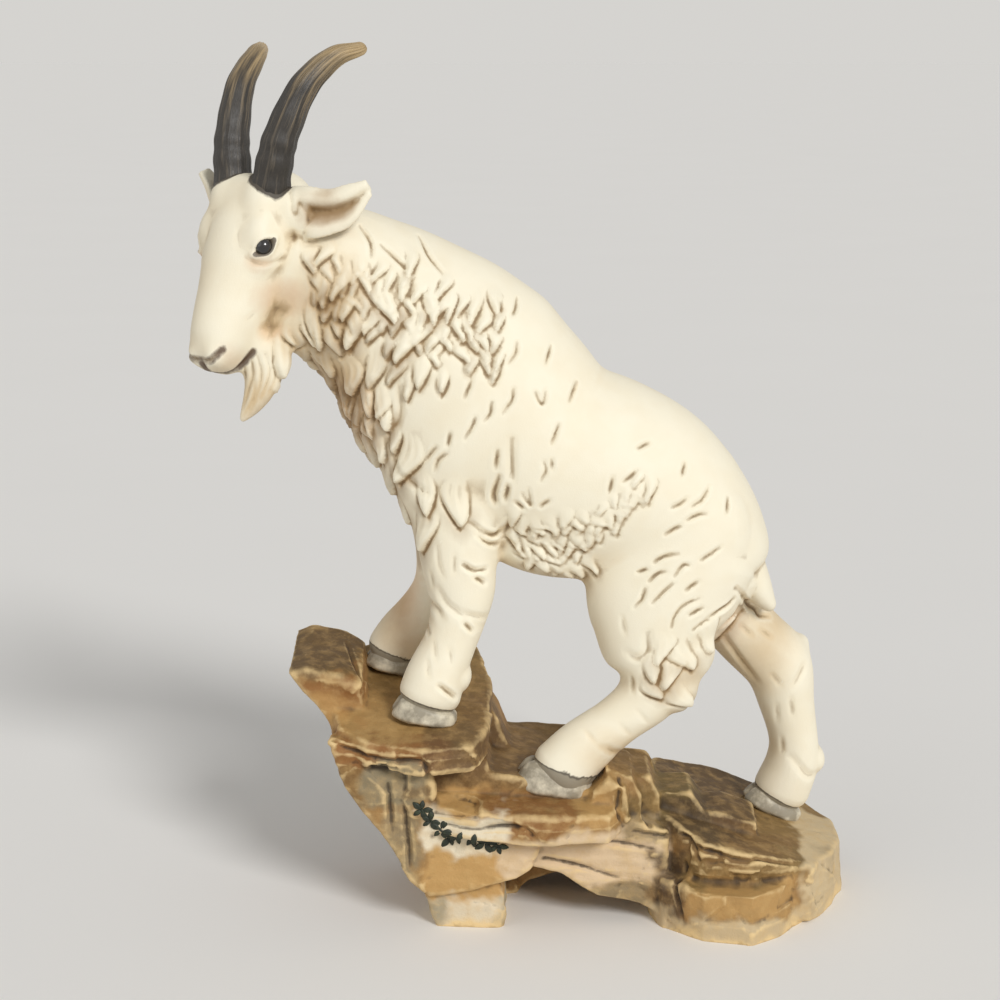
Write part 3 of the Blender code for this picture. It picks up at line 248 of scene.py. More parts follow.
def makeLegs():
    near, far = stance["nearSide"], stance["farSide"]
    fore, hind, tail = stance["foreLedge"], stance["hindLedge"], stance["tailLedge"]
    legs = {
        "nearFore": legStations((-26, near, fore + 5), (-18, -9, 138), [
            (0.03, 1.4, 9.0, 8.0), (0.09, 2.2, 8.6, 7.8), (0.17, 3.9, 8.0, 7.4), (0.25, 5.8, 7.7, 7.5),
            (0.35, 7.2, 8.6, 8.2), (0.45, 7.1, 10.2, 9.2), (0.57, 5.2, 11.2, 10.2), (0.70, 3.9, 13.2, 11.2),
            (0.83, 2.6, 17.0, 12), (1.0, 0.0, 21, 13)]),
        "farFore": legStations((-37.5, far, farForeLedge() + 5), (-22, 9, 128), [
            (0.02, 0.8, 7.8, 7.4), (0.12, 2.6, 7.6, 7.0), (0.24, 6.4, 7.4, 7.2), (0.38, 9.4, 7.8, 8.0),
            (0.58, 7.6, 8.6, 8.8), (0.78, 4.0, 10.2, 10.0), (1.0, 0.0, 13, 12)]),
        "nearHind": legStations((13.5, near, hind + 6), (46, -8.5, 109), [
            (0.0, 0.0, 9.3, 8.2), (0.10, 3.0, 8.5, 7.8), (0.22, 8.6, 7.4, 7.4), (0.34, 13.6, 9.0, 8.6),
            (0.46, 12.2, 12.6, 10.8), (0.59, 6.6, 16.0, 12.4), (0.76, 2.6, 21.4, 14.0),
            (1.0, 0.5, 23.5, 14.5)]),
        "farHind": legStations((79.5, far, tail + 6), (53.5, 9, 100), [
            (0.0, 2.0, 8.6, 8.0), (0.12, 7.9, 8.0, 7.6), (0.24, 11.1, 7.4, 7.2), (0.40, 12.7, 8.6, 8.0),
            (0.56, 13.8, 10.4, 9.4), (0.68, 8.8, 10.4, 10.5), (0.81, 4.0, 11.0, 11.5),
            (1.0, 0.0, 16.0, 13.5)]),
    }
    parts = [limb(name, rows) for name, rows in legs.items()]
    parts.append(lump("dewclawNearFore", (-17.0, near + 1, fore + 12.5), (4.6, 4.6, 5.6)))
    parts.append(lump("hockNear", (49.5, -13, 79), (8.5, 8, 9), (0, 25, 0)))
    parts.append(lump("breechesLow", (46.5, -15, 68.5), (6.5, 6.5, 7), (0, 30, 0)))
    parts.append(lump("hockPointFar", (85.0, far, 72.4), (3.6, 4.4, 5.4), (0, 25, 0)))
    parts.append(lump("dewclawFarHind", (90.4, far, tail + 16.0), (3.8, 4.6, 5.0), (0, -20, 0)))
    return parts


def makeHeadParts(place):
    m = headForm["muzzle"]
    parts = [limb("skull", [
        (-16, 0, -5.0, 9.5, 9.5), (-10, 0, -3.4, 12.8, 12.0), (-3, 0, -2.0, 14.4, 13.6),
        (5, 0, -2.4, 13.8, 13.6),
        (0.36 * m, 0, -2.9, 12.4, 12.2), (0.56 * m, 0, -3.1, 11.0, 10.6), (0.76 * m, 0, -3.3, 9.9, 9.5),
        (0.93 * m, 0, -3.6, 8.5, 8.8), (m, 0, -3.7, 6.2, 7.4)], place=place)]
    for side in (-1, 1):
        parts.append(lump("brow", (1.0, side * 9.6, 2.4), (10.5, 5.4, 5.6), place=place))
        parts.append(lump("browRidge", (0.6, side * 9.3, 6.8), (7.0, 4.8, 3.8), (0, 12, 0), place=place))
        parts.append(lump("hornSeat", (-8.6, side * 6.4, 7.0), (8.2, 6.6, 6.2), (0, 20, 0), place=place))
        parts.append(lump("cheek", (3.0, side * 7.2, -10.0), (11.5, 5.5, 7.4), (0, 8, 0), place=place))
        parts.append(lump("jaw", (15.0, side * 4.6, -9.6), (12.0, 4.4, 5.2), place=place))
        parts.append(lump("nostrilWing", (m + 2.2, side * 4.2, -1.0), (3.4, 3.2, 3.4), place=place))
    parts.append(lump("upperLip", (m + 1.5, 0, -4.2), (4.6, 6.4, 4.4), place=place))
    parts.append(lump("lowerLip", (m - 0.5, 0, -9.8), (5.0, 5.6, 3.0), place=place))
    parts.append(lump("crown", (-9.5, 0, 7.0), (7.5, 11.5, 6.0), place=place))
    parts.append(lump("throat", (-2.0, 0, -16.5), (12, 9.5, 8.5), (0, 15, 0), place=place))
    parts.append(lump("throatLocks", (-61.0, -8.0, 174.0), (9.0, 8.6, 8.0), (0, -12, 0)))
    return parts


# a leaf between two edges: a rolled flap, a deep fold and a lobe
def makeEar(name, upperEdge, lowerEdge, facing):
    profile = smoothRows([(0, 0.4), (0.1, -1.2), (0.24, -1.9), (0.36, 0.9), (0.46, 2.3), (0.62, 1.4),
                          (0.84, -0.4), (1, 0.3)], 4)
    upper, lower = smoothRows(upperEdge, 8), smoothRows(lowerEdge, 8)
    bm = bmesh.new()
    rows = []
    for i, (high, low) in enumerate(zip(upper, lower)):
        share = i / (len(upper) - 1)
        row = []
        for v, depth in profile:
            push = Vector(facing).normalized() * depth * (1 - 0.6 * share)
            point = Vector(high * (1 - v) + low * v) - push
            row.append(bm.verts.new(point * mm))
        rows.append(row)
    for one, two in zip(rows, rows[1:]):
        for k in range(len(profile) - 1):
            bm.faces.new((one[k], one[k + 1], two[k + 1], two[k]))
    blade = linkMesh(name, bm)
    shell = blade.modifiers.new("thickness", "SOLIDIFY")
    shell.thickness = 2.0 * mm
    shell.offset = 0
    applyAll(blade)
    return blade


def makeBeard():
    x, y, z, b = -70.8, -12.5, 168.0, headForm["beard"]
    return [
        limb("beard", [(x + 0.6, y, z + 1, 6.0, 4.6), (x + 0.3, y, z - 0.35 * b, 5.7, 4.4),
                       (x - 1.2, y - 0.4, z - 0.62 * b, 4.8, 3.6),
                       (x - 4.0, y - 0.8, z - 0.84 * b, 3.2, 2.6), (x - 6.4, y - 1.0, z - b, 1.8, 1.4)]),
        limb("beardCurl", [(x + 2.6, y, z, 4.4, 3.4), (x + 3.6, y, z - 0.3 * b, 3.8, 3.2),
                           (x + 2.6, y - 0.4, z - 0.52 * b, 2.8, 2.4),
                           (x + 0.4, y - 0.6, z - 0.72 * b, 1.1, 1.0)]),
    ]


def makeHoof(name, toe, heel, y, toeHeight, heelHeight, grow=0.0):
    toeX, toeZ = toe
    heelX, heelZ = heel
    pitch = math.atan2(heelZ - toeZ, heelX - toeX)
    length = math.hypot(heelX - toeX, heelZ - toeZ) + 2 * grow
    deselectAll()
    bpy.ops.mesh.primitive_uv_sphere_add(segments=72, ring_count=36, radius=1)
    obj = bpy.context.active_object
    obj.name = name
    place = Matrix.Translation(Vector((toeX, y, toeZ)) * mm) @ Matrix.Rotation(-pitch, 4, "Y")
    for v in obj.data.vertices:
        a, b, c = v.co
        a = math.copysign(abs(a) ** 0.75, a)
        b = math.copysign(abs(b) ** 0.75, b)
        c = math.copysign(abs(c) ** 0.5, c)
        share = (a + 1) / 2
        top = toeHeight + (heelHeight - toeHeight) * share
        height = (c + 1) / 2
        slant = (1 - share) * height * toeHeight * 0.45
        cleft = 1 - 0.24 * max(0.0, 1 - abs(b) / 0.22) * (1 - share)
        x = length * share * cleft + slant + (1 - cleft) * length * 0.5 - grow
        half = (hoofForm["width"] / 2 + grow) * (1 - 0.2 * height)
        v.co = place @ (Vector((x, b * half, height * (top + grow) - 0.6)) * mm)
    return obj


def hoofPlaces():
    h = hoofForm["height"]
    near, far = stance["nearSide"], stance["farSide"]
    fore, hind, tail = stance["foreLedge"], stance["hindLedge"], stance["tailLedge"]
    farFore = farForeLedge()
    return {
        "hoofNearFore": ((-36.8, fore + 1), (-17.0, fore - 1.8), near, 0.92 * h, 0.5 * h),
        "hoofFarFore": ((-46.0, farFore + 2), (-29.5, farFore - 1.5), far, 0.85 * h, 0.5 * h),
        "hoofNearHind": ((-2.2, hind + 1.6), (21.6, hind - 2.2), near, 1.2 * h, 0.8 * h),
        "hoofFarHind": ((68.6, tail + 3.4), (86.5, tail - 4), far, 0.8 * h, 0.5 * h),
    }


def makeGoatMasses():
    place = headPlace()
    parts = [limb("torso", torsoStations(), sides=64, perSpan=8)]
    parts += makeLegs()
    parts.append(lump("shoulderNear", (-12, -12, 146), (20, 13.5, 27), (0, 26, 0)))
    parts.append(lump("shoulderFar", (-12, 12, 147), (20, 12.5, 26), (0, 26, 0)))
    parts.append(lump("withers", (-5, 0, 168), (19, 14, 13), (0, 38, 0)))
    parts.append(lump("belly", (12, 0, 108), (22, 19, 9), (0, 6, 0)))
    parts.append(lump("brisket", (-27, -1, 132), (10, 14, 17), (0, -14, 0)))
    parts.append(lump("rumpFar", (53, 8, 104), (17, 14, 20)))
    parts.append(lump("flankNear", (47, -9, 112), (21, 13.5, 22), (0, 20, 0)))
    t = goatForm["tailLength"]
    parts.append(limb("tail", [(63.5, -1.5, 89 + t, 6.0, 7.5), (67, -2, 89 + 0.7 * t, 5.6, 7.0),
                               (71, -2, 89 + 0.3 * t, 4.2, 5.6), (74.4, -2, 89.5, 2.2, 2.8)]))
    for name, (toe, heel, y, toeHeight, heelHeight) in hoofPlaces().items():
        parts.append(makeHoof(name + "Core", toe, heel, y, toeHeight, heelHeight, grow=-0.6))
    parts += makeHeadParts(place)
    parts.append(makeEar("earNear", [(-62.5, -11, 211.5), (-57, -14.5, 211.6), (-50.7, -17, 211.0),
                                     (-45.2, -18.5, 212.6), (-40.2, -19.0, 213.6)],
                         [(-59.0, -13.5, 197.8), (-55.4, -17.5, 197.8), (-50.0, -19, 199.2),
                          (-44.2, -19.5, 202.2), (-39.2, -19.0, 210.0)], (-0.25, -1, -0.15)))
    parts.append(makeEar("earFar", [(-81.5, 4, 202), (-84.4, 3, 206.5), (-86.2, 4, 211), (-88.6, 7, 214.8)],
                         [(-80.5, 12, 202), (-83.2, 13.5, 207), (-85.4, 12.5, 211.5), (-88.2, 9, 215.0)],
                         (-0.88, 0, -0.45)))
    parts.append(limb("earSeat", [(-68, -10, 205, 5.5, 5.5), (-62, -12.5, 205, 6.5, 4.6),
                                  (-57.5, -15, 204.5, 7.0, 2.4)]))
    parts += makeBeard()
    return parts


# Rock

def block(name, outline, low, high, upright=True, riseX=0.0, riseY=0.0):
    rounding = rockForm["rounding"]
    curve = bpy.data.curves.new(name, "CURVE")
    curve.dimensions = "2D"
    curve.fill_mode = "BOTH"
    curve.extrude = ((high - low) / 2 - rounding) * mm
    curve.bevel_depth = rounding * mm
    curve.bevel_resolution = 2
    spline = curve.splines.new("POLY")
    spline.points.add(len(outline) - 1)
    for point, (a, b) in zip(spline.points, outline):
        point.co = (a * mm, b * mm, 0, 1)
    spline.use_cyclic_u = True
    obj = bpy.data.objects.new(name, curve)
    bpy.context.scene.collection.objects.link(obj)
    makeActive(obj)
    bpy.ops.object.convert(target="MESH")
    bpy.ops.object.mode_set(mode="EDIT")
    bpy.ops.mesh.select_all(action="SELECT")
    bpy.ops.mesh.remove_doubles(threshold=0.01 * mm)
    bpy.ops.object.mode_set(mode="OBJECT")
    middle = (low + high) / 2 * mm
    for v in obj.data.vertices:
        a, b, c = v.co
        v.co = (a, c + middle, b) if upright else (a, b, c + middle)
        v.co.z += riseX * v.co.x + riseY * v.co.y
    makeActive(obj)
    bpy.ops.object.mode_set(mode="EDIT")
    bpy.ops.mesh.select_all(action="SELECT")
    bpy.ops.mesh.normals_make_consistent(inside=False)
    bpy.ops.object.mode_set(mode="OBJECT")
    return obj


def makeRockBlocks():
    f, h, t = stance["foreLedge"], stance["hindLedge"], stance["tailLedge"]
    b, d, rise = rockForm["back"], rockForm["footDepth"], stance["shelfRise"]
    near, far = stance["nearSide"], stance["farSide"]
    foreTop = f - rise * near - 0.04 * 26  # so that the fore shelf passes under the near forefoot
    hindTop = h - 0.1 * near + 0.05 * 11
    tailTop = t + 0.3 * 77 - 0.05 * far
    return [
        block("prow", [(-63.5, 74.8), (-60, 76), (-51, 74), (-45.8, 71), (-45, 66), (-43, f - 4),
                       (-50.5, f - 8), (-53, 61), (-57, 66.5), (-60.5, 70.5)], -14, 16, True, 0, 0.18),
        block("foreShelf", [(-51.5, -14), (-49.5, -23), (-42, -30), (-26, -34), (-12.5, -30), (-8.5, -20),
                             (-8, 10), (-12, b - 4), (-30, b - 1), (-47, b - 8), (-51, 12)],
              foreTop - 8, foreTop, False, -0.04, rise),
        block("foreBoulder", [(-26, f + 1.5), (-15, f + 1.5), (-9.5, f - 1.5), (-6, f - 7), (-3, f - 16),
                               (1, f - 19), (1, f - 24), (-26, f - 24)], 2, b - 8),
        block("lowBoulder", [(-8, h + 1), (4, h + 1.5), (10, h - 1), (12, 30), (-10, 30)], 4, b - 8),
        block("greyBlock", [(-51.5, f - 4), (-36, f - 5.5), (-25.5, f - 7), (-24.5, 42), (-25.5, 30),
                             (-27, 14), (-29, 16), (-32, 21.5), (-37, 30.5), (-43, 38), (-48, 44),
                             (-50.5, 51)], -29, b - 8),
        block("core", [(-26, f - 8), (-10, f - 8), (-8, h + 6), (28, h - 1), (30, 20), (6, 24), (-10, 20),
                       (-26, 14)], -22, b - 8),
        block("hindShelf", [(-26, -27), (-12, -33), (10, -34), (26, -31), (30, -22), (32, 0), (32, 20),
                             (20, b - 3), (-20, b - 2), (-28, 10)], hindTop - 9, hindTop, False,
              -0.05, 0.1),
        block("hindCurl", [(20, h - 6), (23, h + 1), (27, h + 5), (31, h + 2.5), (32, h - 6),
                            (28, h - 9)], -25, 4),
        block("tongue", [(-29, 30), (-14, 33), (6, 32), (6, 24), (4, 19.6), (0, 16.3), (-9, 14),
                         (-24, 11.5), (-25, 14)], -28, 18),
        block("leftFoot", [(-27, 16), (-8, 17), (-3.5, 9), (-3.5, 3), (-5, -d), (-21, -d), (-23.3, 3.5),
                            (-24, 8)], -25, 16),
        block("rootBand", [(-4, 32), (14, 33), (30, 32), (43, 27), (43, 3), (37, 6.5), (24.5, 9),
                           (13.5, 16.5),
                            (6, 18.4), (-2, 23)], -23, 6),
        block("backSkirt", [(-32, 30), (40, 28), (46, -d), (26, -d), (19, 4.5), (13, 7.4), (4, 5), (-3, -d),
                             (-22, -d), (-28, 14)], 0, b - 6),
        block("finLeft", [(27, h + 6.5), (33, h + 4.5), (35.5, h - 1), (36, 24), (26, 24)], -21, 2),
        block("finMid", [(32, h + 3), (38.5, h + 2.5), (41.5, h - 3), (42, 24), (31, 24)], -16, 8),
        block("finRight", [(40, h - 3), (51, h - 3.5), (55, 29.5), (62, 28.8), (70, 26), (70, 12),
                            (40, 12)], -13, 6),
        block("tailShelf", [(44, -16), (54, -27), (69, -29), (85, -22), (93, -8), (97, 4), (97.5, 20),
                             (88, b - 3), (60, b), (44, b - 4), (40, 8)],
              tailTop - 18, tailTop, False, -0.3, 0.05),
        block("tailBase", [(40, 8), (41, -16), (43, -25), (54, -35), (67, -37.5), (75, -31), (81.5, -22),
                            (89, -10), (94.5, -1), (96.5, 16), (88, b - 4), (60, b - 2), (44, b - 6)],
              -d, 15, False),
    ]


# Carving

class Carving:  # a mesh's points and normals in millimetres, pushed in and out by the tools below
    def __init__(self, obj):
        self.obj = obj
        count = len(obj.data.vertices)
        flat = np.empty(count * 3)
        obj.data.vertices.foreach_get("co", flat)
        self.points = flat.reshape(-1, 3) / mm
        obj.data.vertices.foreach_get("normal", flat)
        self.normals = flat.reshape(-1, 3).copy()
        self.lift = np.zeros(count)
        self.cut = np.zeros(count)
        self.pool = np.zeros(count)  # where wash and painted shade gather under the tips of the locks
        self.tree = KDTree(count)
        for i, point in enumerate(self.points):
            self.tree.insert(point, i)
        self.tree.balance()
        faces = [tuple(face.vertices) for face in obj.data.polygons]
        self.surface = BVHTree.FromPolygons([tuple(p) for p in self.points], faces)

    def near(self, point, radius):
        return np.array([index for _, index, _ in self.tree.find_range(point, radius)], int)

    def flank(self, x, z, side):  # the point on the near (-1) or far (1) face at x, z
        hit = self.surface.ray_cast(Vector((x, side * 90.0, z)), Vector((0, -side, 0)))
        return None if hit[0] is None else np.array(hit[0])

    def dent(self, centre, size, depth):  # a recess with a flat bottom and steep walls
        found = self.near(centre, max(size) * 1.3)
        away = np.abs(self.points[found] - np.array(centre))
        reach = np.maximum(away[:, 0] / size[0], away[:, 2] / size[1])
        self.cut[found] = np.minimum(self.cut[found], -depth * np.clip((1.1 - reach) / 0.2, 0, 1))

    def groove(self, path, width, depth, ridge=0.0):  # a tapering V with, at wish, a raised lip beside it
        path = [np.array(p, float) for p in path if p is not None]
        if len(path) < 2:
            return
        rows = np.array([self.surface.find_nearest(Vector(row))[0] for row in smoothRows(path, 5)])
        steps = rows[1:] - rows[:-1]
        lengths = np.linalg.norm(steps, axis=1)
        found = set()
        for row, length in zip(rows, np.append(lengths, lengths[-1])):
            found.update(index for _, index, _ in self.tree.find_range(row, width * 2.2 + 0.6 * length))
        found = np.array(sorted(found), int)
        away = self.points[found][:, None, :] - rows[None, :-1, :]
        t = np.clip((away * steps).sum(axis=2) / np.maximum(lengths**2, 1e-6), 0, 1)
        gaps = np.linalg.norm(away - t[:, :, None] * steps, axis=2)
        nearest = gaps.argmin(axis=1)
        share = (nearest + t[np.arange(len(found)), nearest]) / len(steps)
        taper = np.sin(math.pi * np.clip(0.1 + 0.84 * share, 0, 1)) ** 0.7
        away = gaps.min(axis=1) / width
        self.cut[found] = np.minimum(self.cut[found], -depth * taper * np.clip(1 - away, 0, 1) ** 0.9)
        if ridge:
            lip = np.exp(-((away - 1.15) / 0.4) ** 2) * ridge * taper
            self.lift[found] = np.maximum(self.lift[found], lip)

    def trace(self, line, side, width, depth, ridge=0.0):
        self.groove([self.flank(x, z, side) for x, z in line], width, depth, ridge)

    def finish(self):
        moved = (self.points + self.normals * (self.lift + self.cut)[:, None]) * mm
        self.obj.data.vertices.foreach_set("co", moved.ravel())
        self.obj.data.update()


def meshEdges(obj):
    pairs = np.empty(len(obj.data.edges) * 2, int)
    obj.data.edges.foreach_get("vertices", pairs)
    return pairs.reshape(-1, 2)


def smoothField(values, pairs, passes, weight=None):
    a, b = pairs[:, 0], pairs[:, 1]
    count = np.bincount(np.concatenate((a, b)), minlength=len(values)).astype(float)
    flat = values.reshape(len(values), -1).copy()
    for _ in range(passes):
        for k in range(flat.shape[1]):
            total = np.bincount(a, flat[b, k], len(flat)) + np.bincount(b, flat[a, k], len(flat))
            step = 0.5 * (total / count - flat[:, k])
            flat[:, k] += step if weight is None else step * weight
    return flat.reshape(values.shape)


def getPoints(obj):
    flat = np.empty(len(obj.data.vertices) * 3)
    obj.data.vertices.foreach_get("co", flat)
    return flat.reshape(-1, 3) / mm


def setPoints(obj, points):
    obj.data.vertices.foreach_set("co", (points * mm).ravel())
    obj.data.update()


def meltTogether(name, parts, grain, passes):
    whole = joinParts(name, parts)
    remesh = whole.modifiers.new("one skin", "REMESH")
    remesh.mode = "VOXEL"
    remesh.voxel_size = grain * mm
    applyAll(whole)
    setPoints(whole, smoothField(getPoints(whole), meshEdges(whole), passes))
    return whole


# the masses flow into each other; feet, ears, lips and the tail keep their shape
def easeBroadForms(goat, place):
    points = getPoints(goat)
    x, y, z = points.T
    turn = np.array(place.to_3x3())
    ahead = (points - np.array(headForm["middle"])) @ turn[:, 0]
    fromHead = np.linalg.norm(points - np.array(headForm["middle"]), axis=1)
    body = np.clip((z - 84) / 22, 0, 1) * np.clip((fromHead - 20) / 8, 0, 1) * (x < 62)
    nearHind = np.clip((z - 60) / 8, 0, 1) * (x > 22) * (x < 62) * (y < 2)
    farHind = 0.5 * np.clip((z - 44) / 8, 0, 1) * np.clip((91 - z) / 4, 0, 1) * (x > 58)
    fore = np.clip((z - 78) / 10, 0, 1) * (x < 10) * (z < 110)
    head = np.clip((28 - fromHead) / 6, 0, 1) * np.where(ahead > 24, 0.15, 0.5)
    weight = np.maximum.reduce([body, nearHind, farHind, fore, head])
    ears = ((x > -61) & (y < -9) & (z > 194) & (z < 216) & (x < -36)) | ((x < -79) & (y > 2) & (z > 198))
    weight[ears] = 0
    setPoints(goat, smoothField(points, meshEdges(goat), 120, weight))


def thin(obj, triangles):
    now = sum(len(face.vertices) - 2 for face in obj.data.polygons)
    if now <= triangles:
        return
    less = obj.modifiers.new("thin", "DECIMATE")
    less.ratio = triangles / now
    less.use_collapse_triangulate = True
    applyAll(obj)


# a leaf rising from its root, undercut round its point
def carveLock(skin, start, tip, width, relief, curl):
    if start is None or tip is None:
        return
    start, tip = np.array(start), np.array(tip)
    middle = skin.tree.find((start + tip) / 2)[1]
    normal = skin.normals[middle]
    along = tip - start
    along = along - normal * normal.dot(along)
    length = np.linalg.norm(along)
    if length < width * 0.5:
        return
    along /= length
    side = np.cross(normal, along)
    found = skin.near(skin.points[middle], 0.62 * length + width)
    away = skin.points[found] - start
    u = away @ along / length
    v = away @ side - 0.24 * curl * width * np.sin(1.5 * math.pi * np.clip(u, 0, 1))
    facing = skin.normals[found] @ normal > 0.12
    inner = np.clip(u, 0, 1)
    half = 0.5 * width * (0.6 + 0.4 * np.clip(inner / 0.4, 0, 1)) * (1 - inner**2.6) ** 0.75
    outside = np.where(u > 1, np.hypot((u - 1) * length, v), np.abs(v) - half)
    signed = v / np.maximum(half, 0.05)
    span = np.clip(np.abs(signed), 0, 1)
    body = facing & (u > 0) & (u < 1) & (outside < 0)
    rise = relief * np.clip(u / 0.75, 0, 1) ** 1.2 * (1 - 0.75 * span**3)
    waves = np.cos(math.pi * (2 if width < 4 else 3) * signed)
    strands = waves * np.clip(1 - span, 0, 1) * np.clip(3 * u, 0, 1)
    rise += coatForm["strandRelief"] * relief * strands
    kept = found[body]
    skin.lift[kept] = np.maximum(skin.lift[kept], rise[body])
    swell = coatForm["strokeWidth"] * (0.5 + 0.8 * inner**2)
    rim = facing & (u > 0.2) & (outside >= -0.25 * swell)
    cut = np.clip(1 - np.abs(outside - 0.35 * swell) / swell, 0, 1) * np.clip((u - 0.2) / 0.45, 0, 1)
    cut *= 0.8 + 0.35 * np.tanh(2 * signed) * np.sign(curl)
    skin.cut[found] = np.minimum(skin.cut[found], -0.55 * relief * cut * rim)
    # past the tip of each lock, on the lock below it: a mark for brown wash and painted shade
    below = np.clip(1 - outside / (0.75 * width), 0, 1) * (outside > 0)
    washAndShadeBelow = facing * below * np.clip((u - 0.45) / 0.4, 0, 1)
    skin.pool[found] = np.maximum(skin.pool[found] * (1 - 0.8 * np.isin(found, kept)), washAndShadeBelow * relief / 2)


# root x, z, tip x, z and width; the lowest lock is carved first
def carveFlankLocks(skin, rows, side, seed, strength=1.0):
    dice = random.Random(seed)
    for root, tip, width in sorted(rows, key=lambda row: row[0][1]):
        relief = coatForm["lockRelief"] * min(1.0, 0.45 + width / 11) * dice.uniform(0.75, 1.15) * strength
        curl = dice.uniform(0.3, 1.5) * dice.choice((-1, 1))
        drift = dice.uniform(-0.18, 0.18) * width
        tip = (tip[0] + drift, tip[1] + dice.uniform(-0.15, 0.1) * width)
        carveLock(skin, skin.flank(*root, side), skin.flank(*tip, side), dice.uniform(0.85, 1.15) * width,
                  relief, curl)


def carveNeckLocks(skin):
    sideLocks = [
        ((-49.5, 193), (-48.5, 182), 6.2), ((-54, 192), (-51.5, 179), 5.2),
        ((-55.5, 182), (-55.5, 168), 5.2),
        ((-59, 177.5), (-56, 167), 3.6), ((-63.5, 174), (-62, 168), 3), ((-50.5, 173.5), (-50, 165), 4.8),
        ((-46, 181), (-44, 168), 6.2), ((-36, 190), (-36, 174.5), 7), ((-39.5, 182), (-39.5, 172), 4.8),
        ((-31, 190), (-31, 181), 3.8), ((-28, 183), (-29, 164), 8.8), ((-23, 188), (-22.5, 174.5), 4.8),
        ((-38.5, 169), (-39.5, 157), 6), ((-32.5, 168), (-33.5, 158), 3.8), ((-26, 168), (-26, 157), 4.4),
        ((-30, 162), (-30, 154), 3.4), ((-43.5, 164), (-40, 148), 4.8), ((-38.5, 147), (-38.5, 137), 3.8),
        ((-36.5, 157), (-37, 147.5), 3.8), ((-45, 154), (-43.5, 145), 3.8),
        ((-30.5, 196), (-27.5, 187.5), 4),
        ((-11.5, 185), (-11, 174.5), 3.4), ((-42, 195), (-42, 182.5), 3.8), ((-22, 169), (-22, 163.5), 2.8),
        ((-47, 185), (-47, 175.5), 4.2), ((-35, 174), (-34.5, 166), 4.2), ((-18.5, 185), (-18, 175), 3.8),
        ((-16, 177), (-15, 170), 3.2), ((-20, 163.5), (-20, 156), 3.4), ((-32, 182), (-34, 172), 3.8),
        ((-52.5, 166), (-51.5, 158), 3.8), ((-41.5, 153), (-40.5, 142), 3.8),
        ((-48.5, 161), (-47, 151), 4.4), ((-34, 147), (-33.5, 138), 3.6),
    ]
    dice = random.Random(17)
    filling = []
    for i in range(15):
        for j in range(13):
            x = -56 + 3.7 * i + dice.uniform(-1.2, 1.2)
            z = 140 + 4.4 * j + dice.uniform(-1.5, 1.5) + 1.8 * (i % 2)
            if 137 < z < 196 - 0.28 * (x + 56) and z > 176 + 0.9 * (x + 52) * (-1 if x < -46 else -0.35):
                filling.append(((x, z + 3.6), (x + dice.uniform(-0.9, 0.9), z - 3.6),
                                dice.uniform(3.0, 4.4)))
    for side in (-1, 1):
        carveFlankLocks(skin, filling, side, 71 + side, 0.85)
        carveFlankLocks(skin, sideLocks, side, 11 + side)
    dice = random.Random(12)
    frames = limbFrames(torsoStations(), perSpan=5)
    roots = []
    for i in range(30, len(frames) - 2, 3):
        centre, _, side, up, rUp, rSide = frames[i]
        count = round(1.7 * rSide / coatForm["lockWidth"])
        for k in range(count):
            place = k + 0.5 * ((i // 3) % 2) + dice.uniform(-0.15, 0.35)
            angle = math.radians(62) * (2 * place / count - 1)
            roots.append(centre + up * rUp * math.cos(angle) + side * rSide * math.sin(angle))
    roots.sort(key=lambda root: root[2])
    for root in roots:
        index = skin.tree.find(root)[1]
        root, normal = skin.points[index], skin.normals[index]
        heading = np.array((dice.uniform(-0.2, 0.2), dice.uniform(-0.15, 0.15), -1.0))
        heading -= normal * normal.dot(heading)
        length = coatForm["lockLength"] * dice.uniform(0.75, 1.1)
        tip = skin.points[skin.tree.find(root + heading * length / np.linalg.norm(heading))[1]]
        width = coatForm["lockWidth"] * dice.uniform(0.85, 1.15)
        relief = coatForm["lockRelief"] * dice.uniform(0.8, 1.1)
        carveLock(skin, root, tip, width, relief, dice.uniform(-1.1, 1.1))


def carveLines(skin, lines, side, width, depth, ridge=0.25):
    for line in lines:
        skin.trace(line, side, width, depth, ridge=ridge * depth)


def carveFringe(skin, side):
    upper = [(0.5, 110), (4, 108.8), (7.5, 108), (10.5, 109), (13.5, 110), (16.5, 110), (19, 111),
             (21.5, 113.5), (24, 116.5), (26.5, 118), (29.3, 120.5), (31.8, 122.5), (34.5, 124.5),
             (38, 126)]
    lower = [(5, 104.5), (8.5, 103.5), (12, 102.5), (15.5, 101.8), (19, 102), (22.5, 104)]
    above = [(-0.5, 117.5), (3, 115), (7, 114.5), (11, 115.5), (14.5, 117.5), (18, 116.5)]
    rows = [((x - 1.8, z + 7.5), (x, z - 0.6), 4.0) for x, z in upper]
    rows += [((x - 1.5, z + 6.0), (x, z - 0.4), 4.6) for x, z in lower]
    rows += [((x - 1.8, z + 6.5), (x, z), 4.2) for x, z in above]
    dice = random.Random(27)
    for i in range(11):
        for j in range(3):
            x = 1 + 3.4 * i + dice.uniform(-1.2, 1.2)
            z = 107 + 0.85 * max(0.0, x - 17) + 4.2 * j + dice.uniform(-1.5, 1.5)
            rows.append(((x - 1.5, z + 4.5), (x + dice.uniform(-1, 1), z), dice.uniform(2.8, 4.2)))
    carveFlankLocks(skin, rows, side, 21 + side, 0.6)


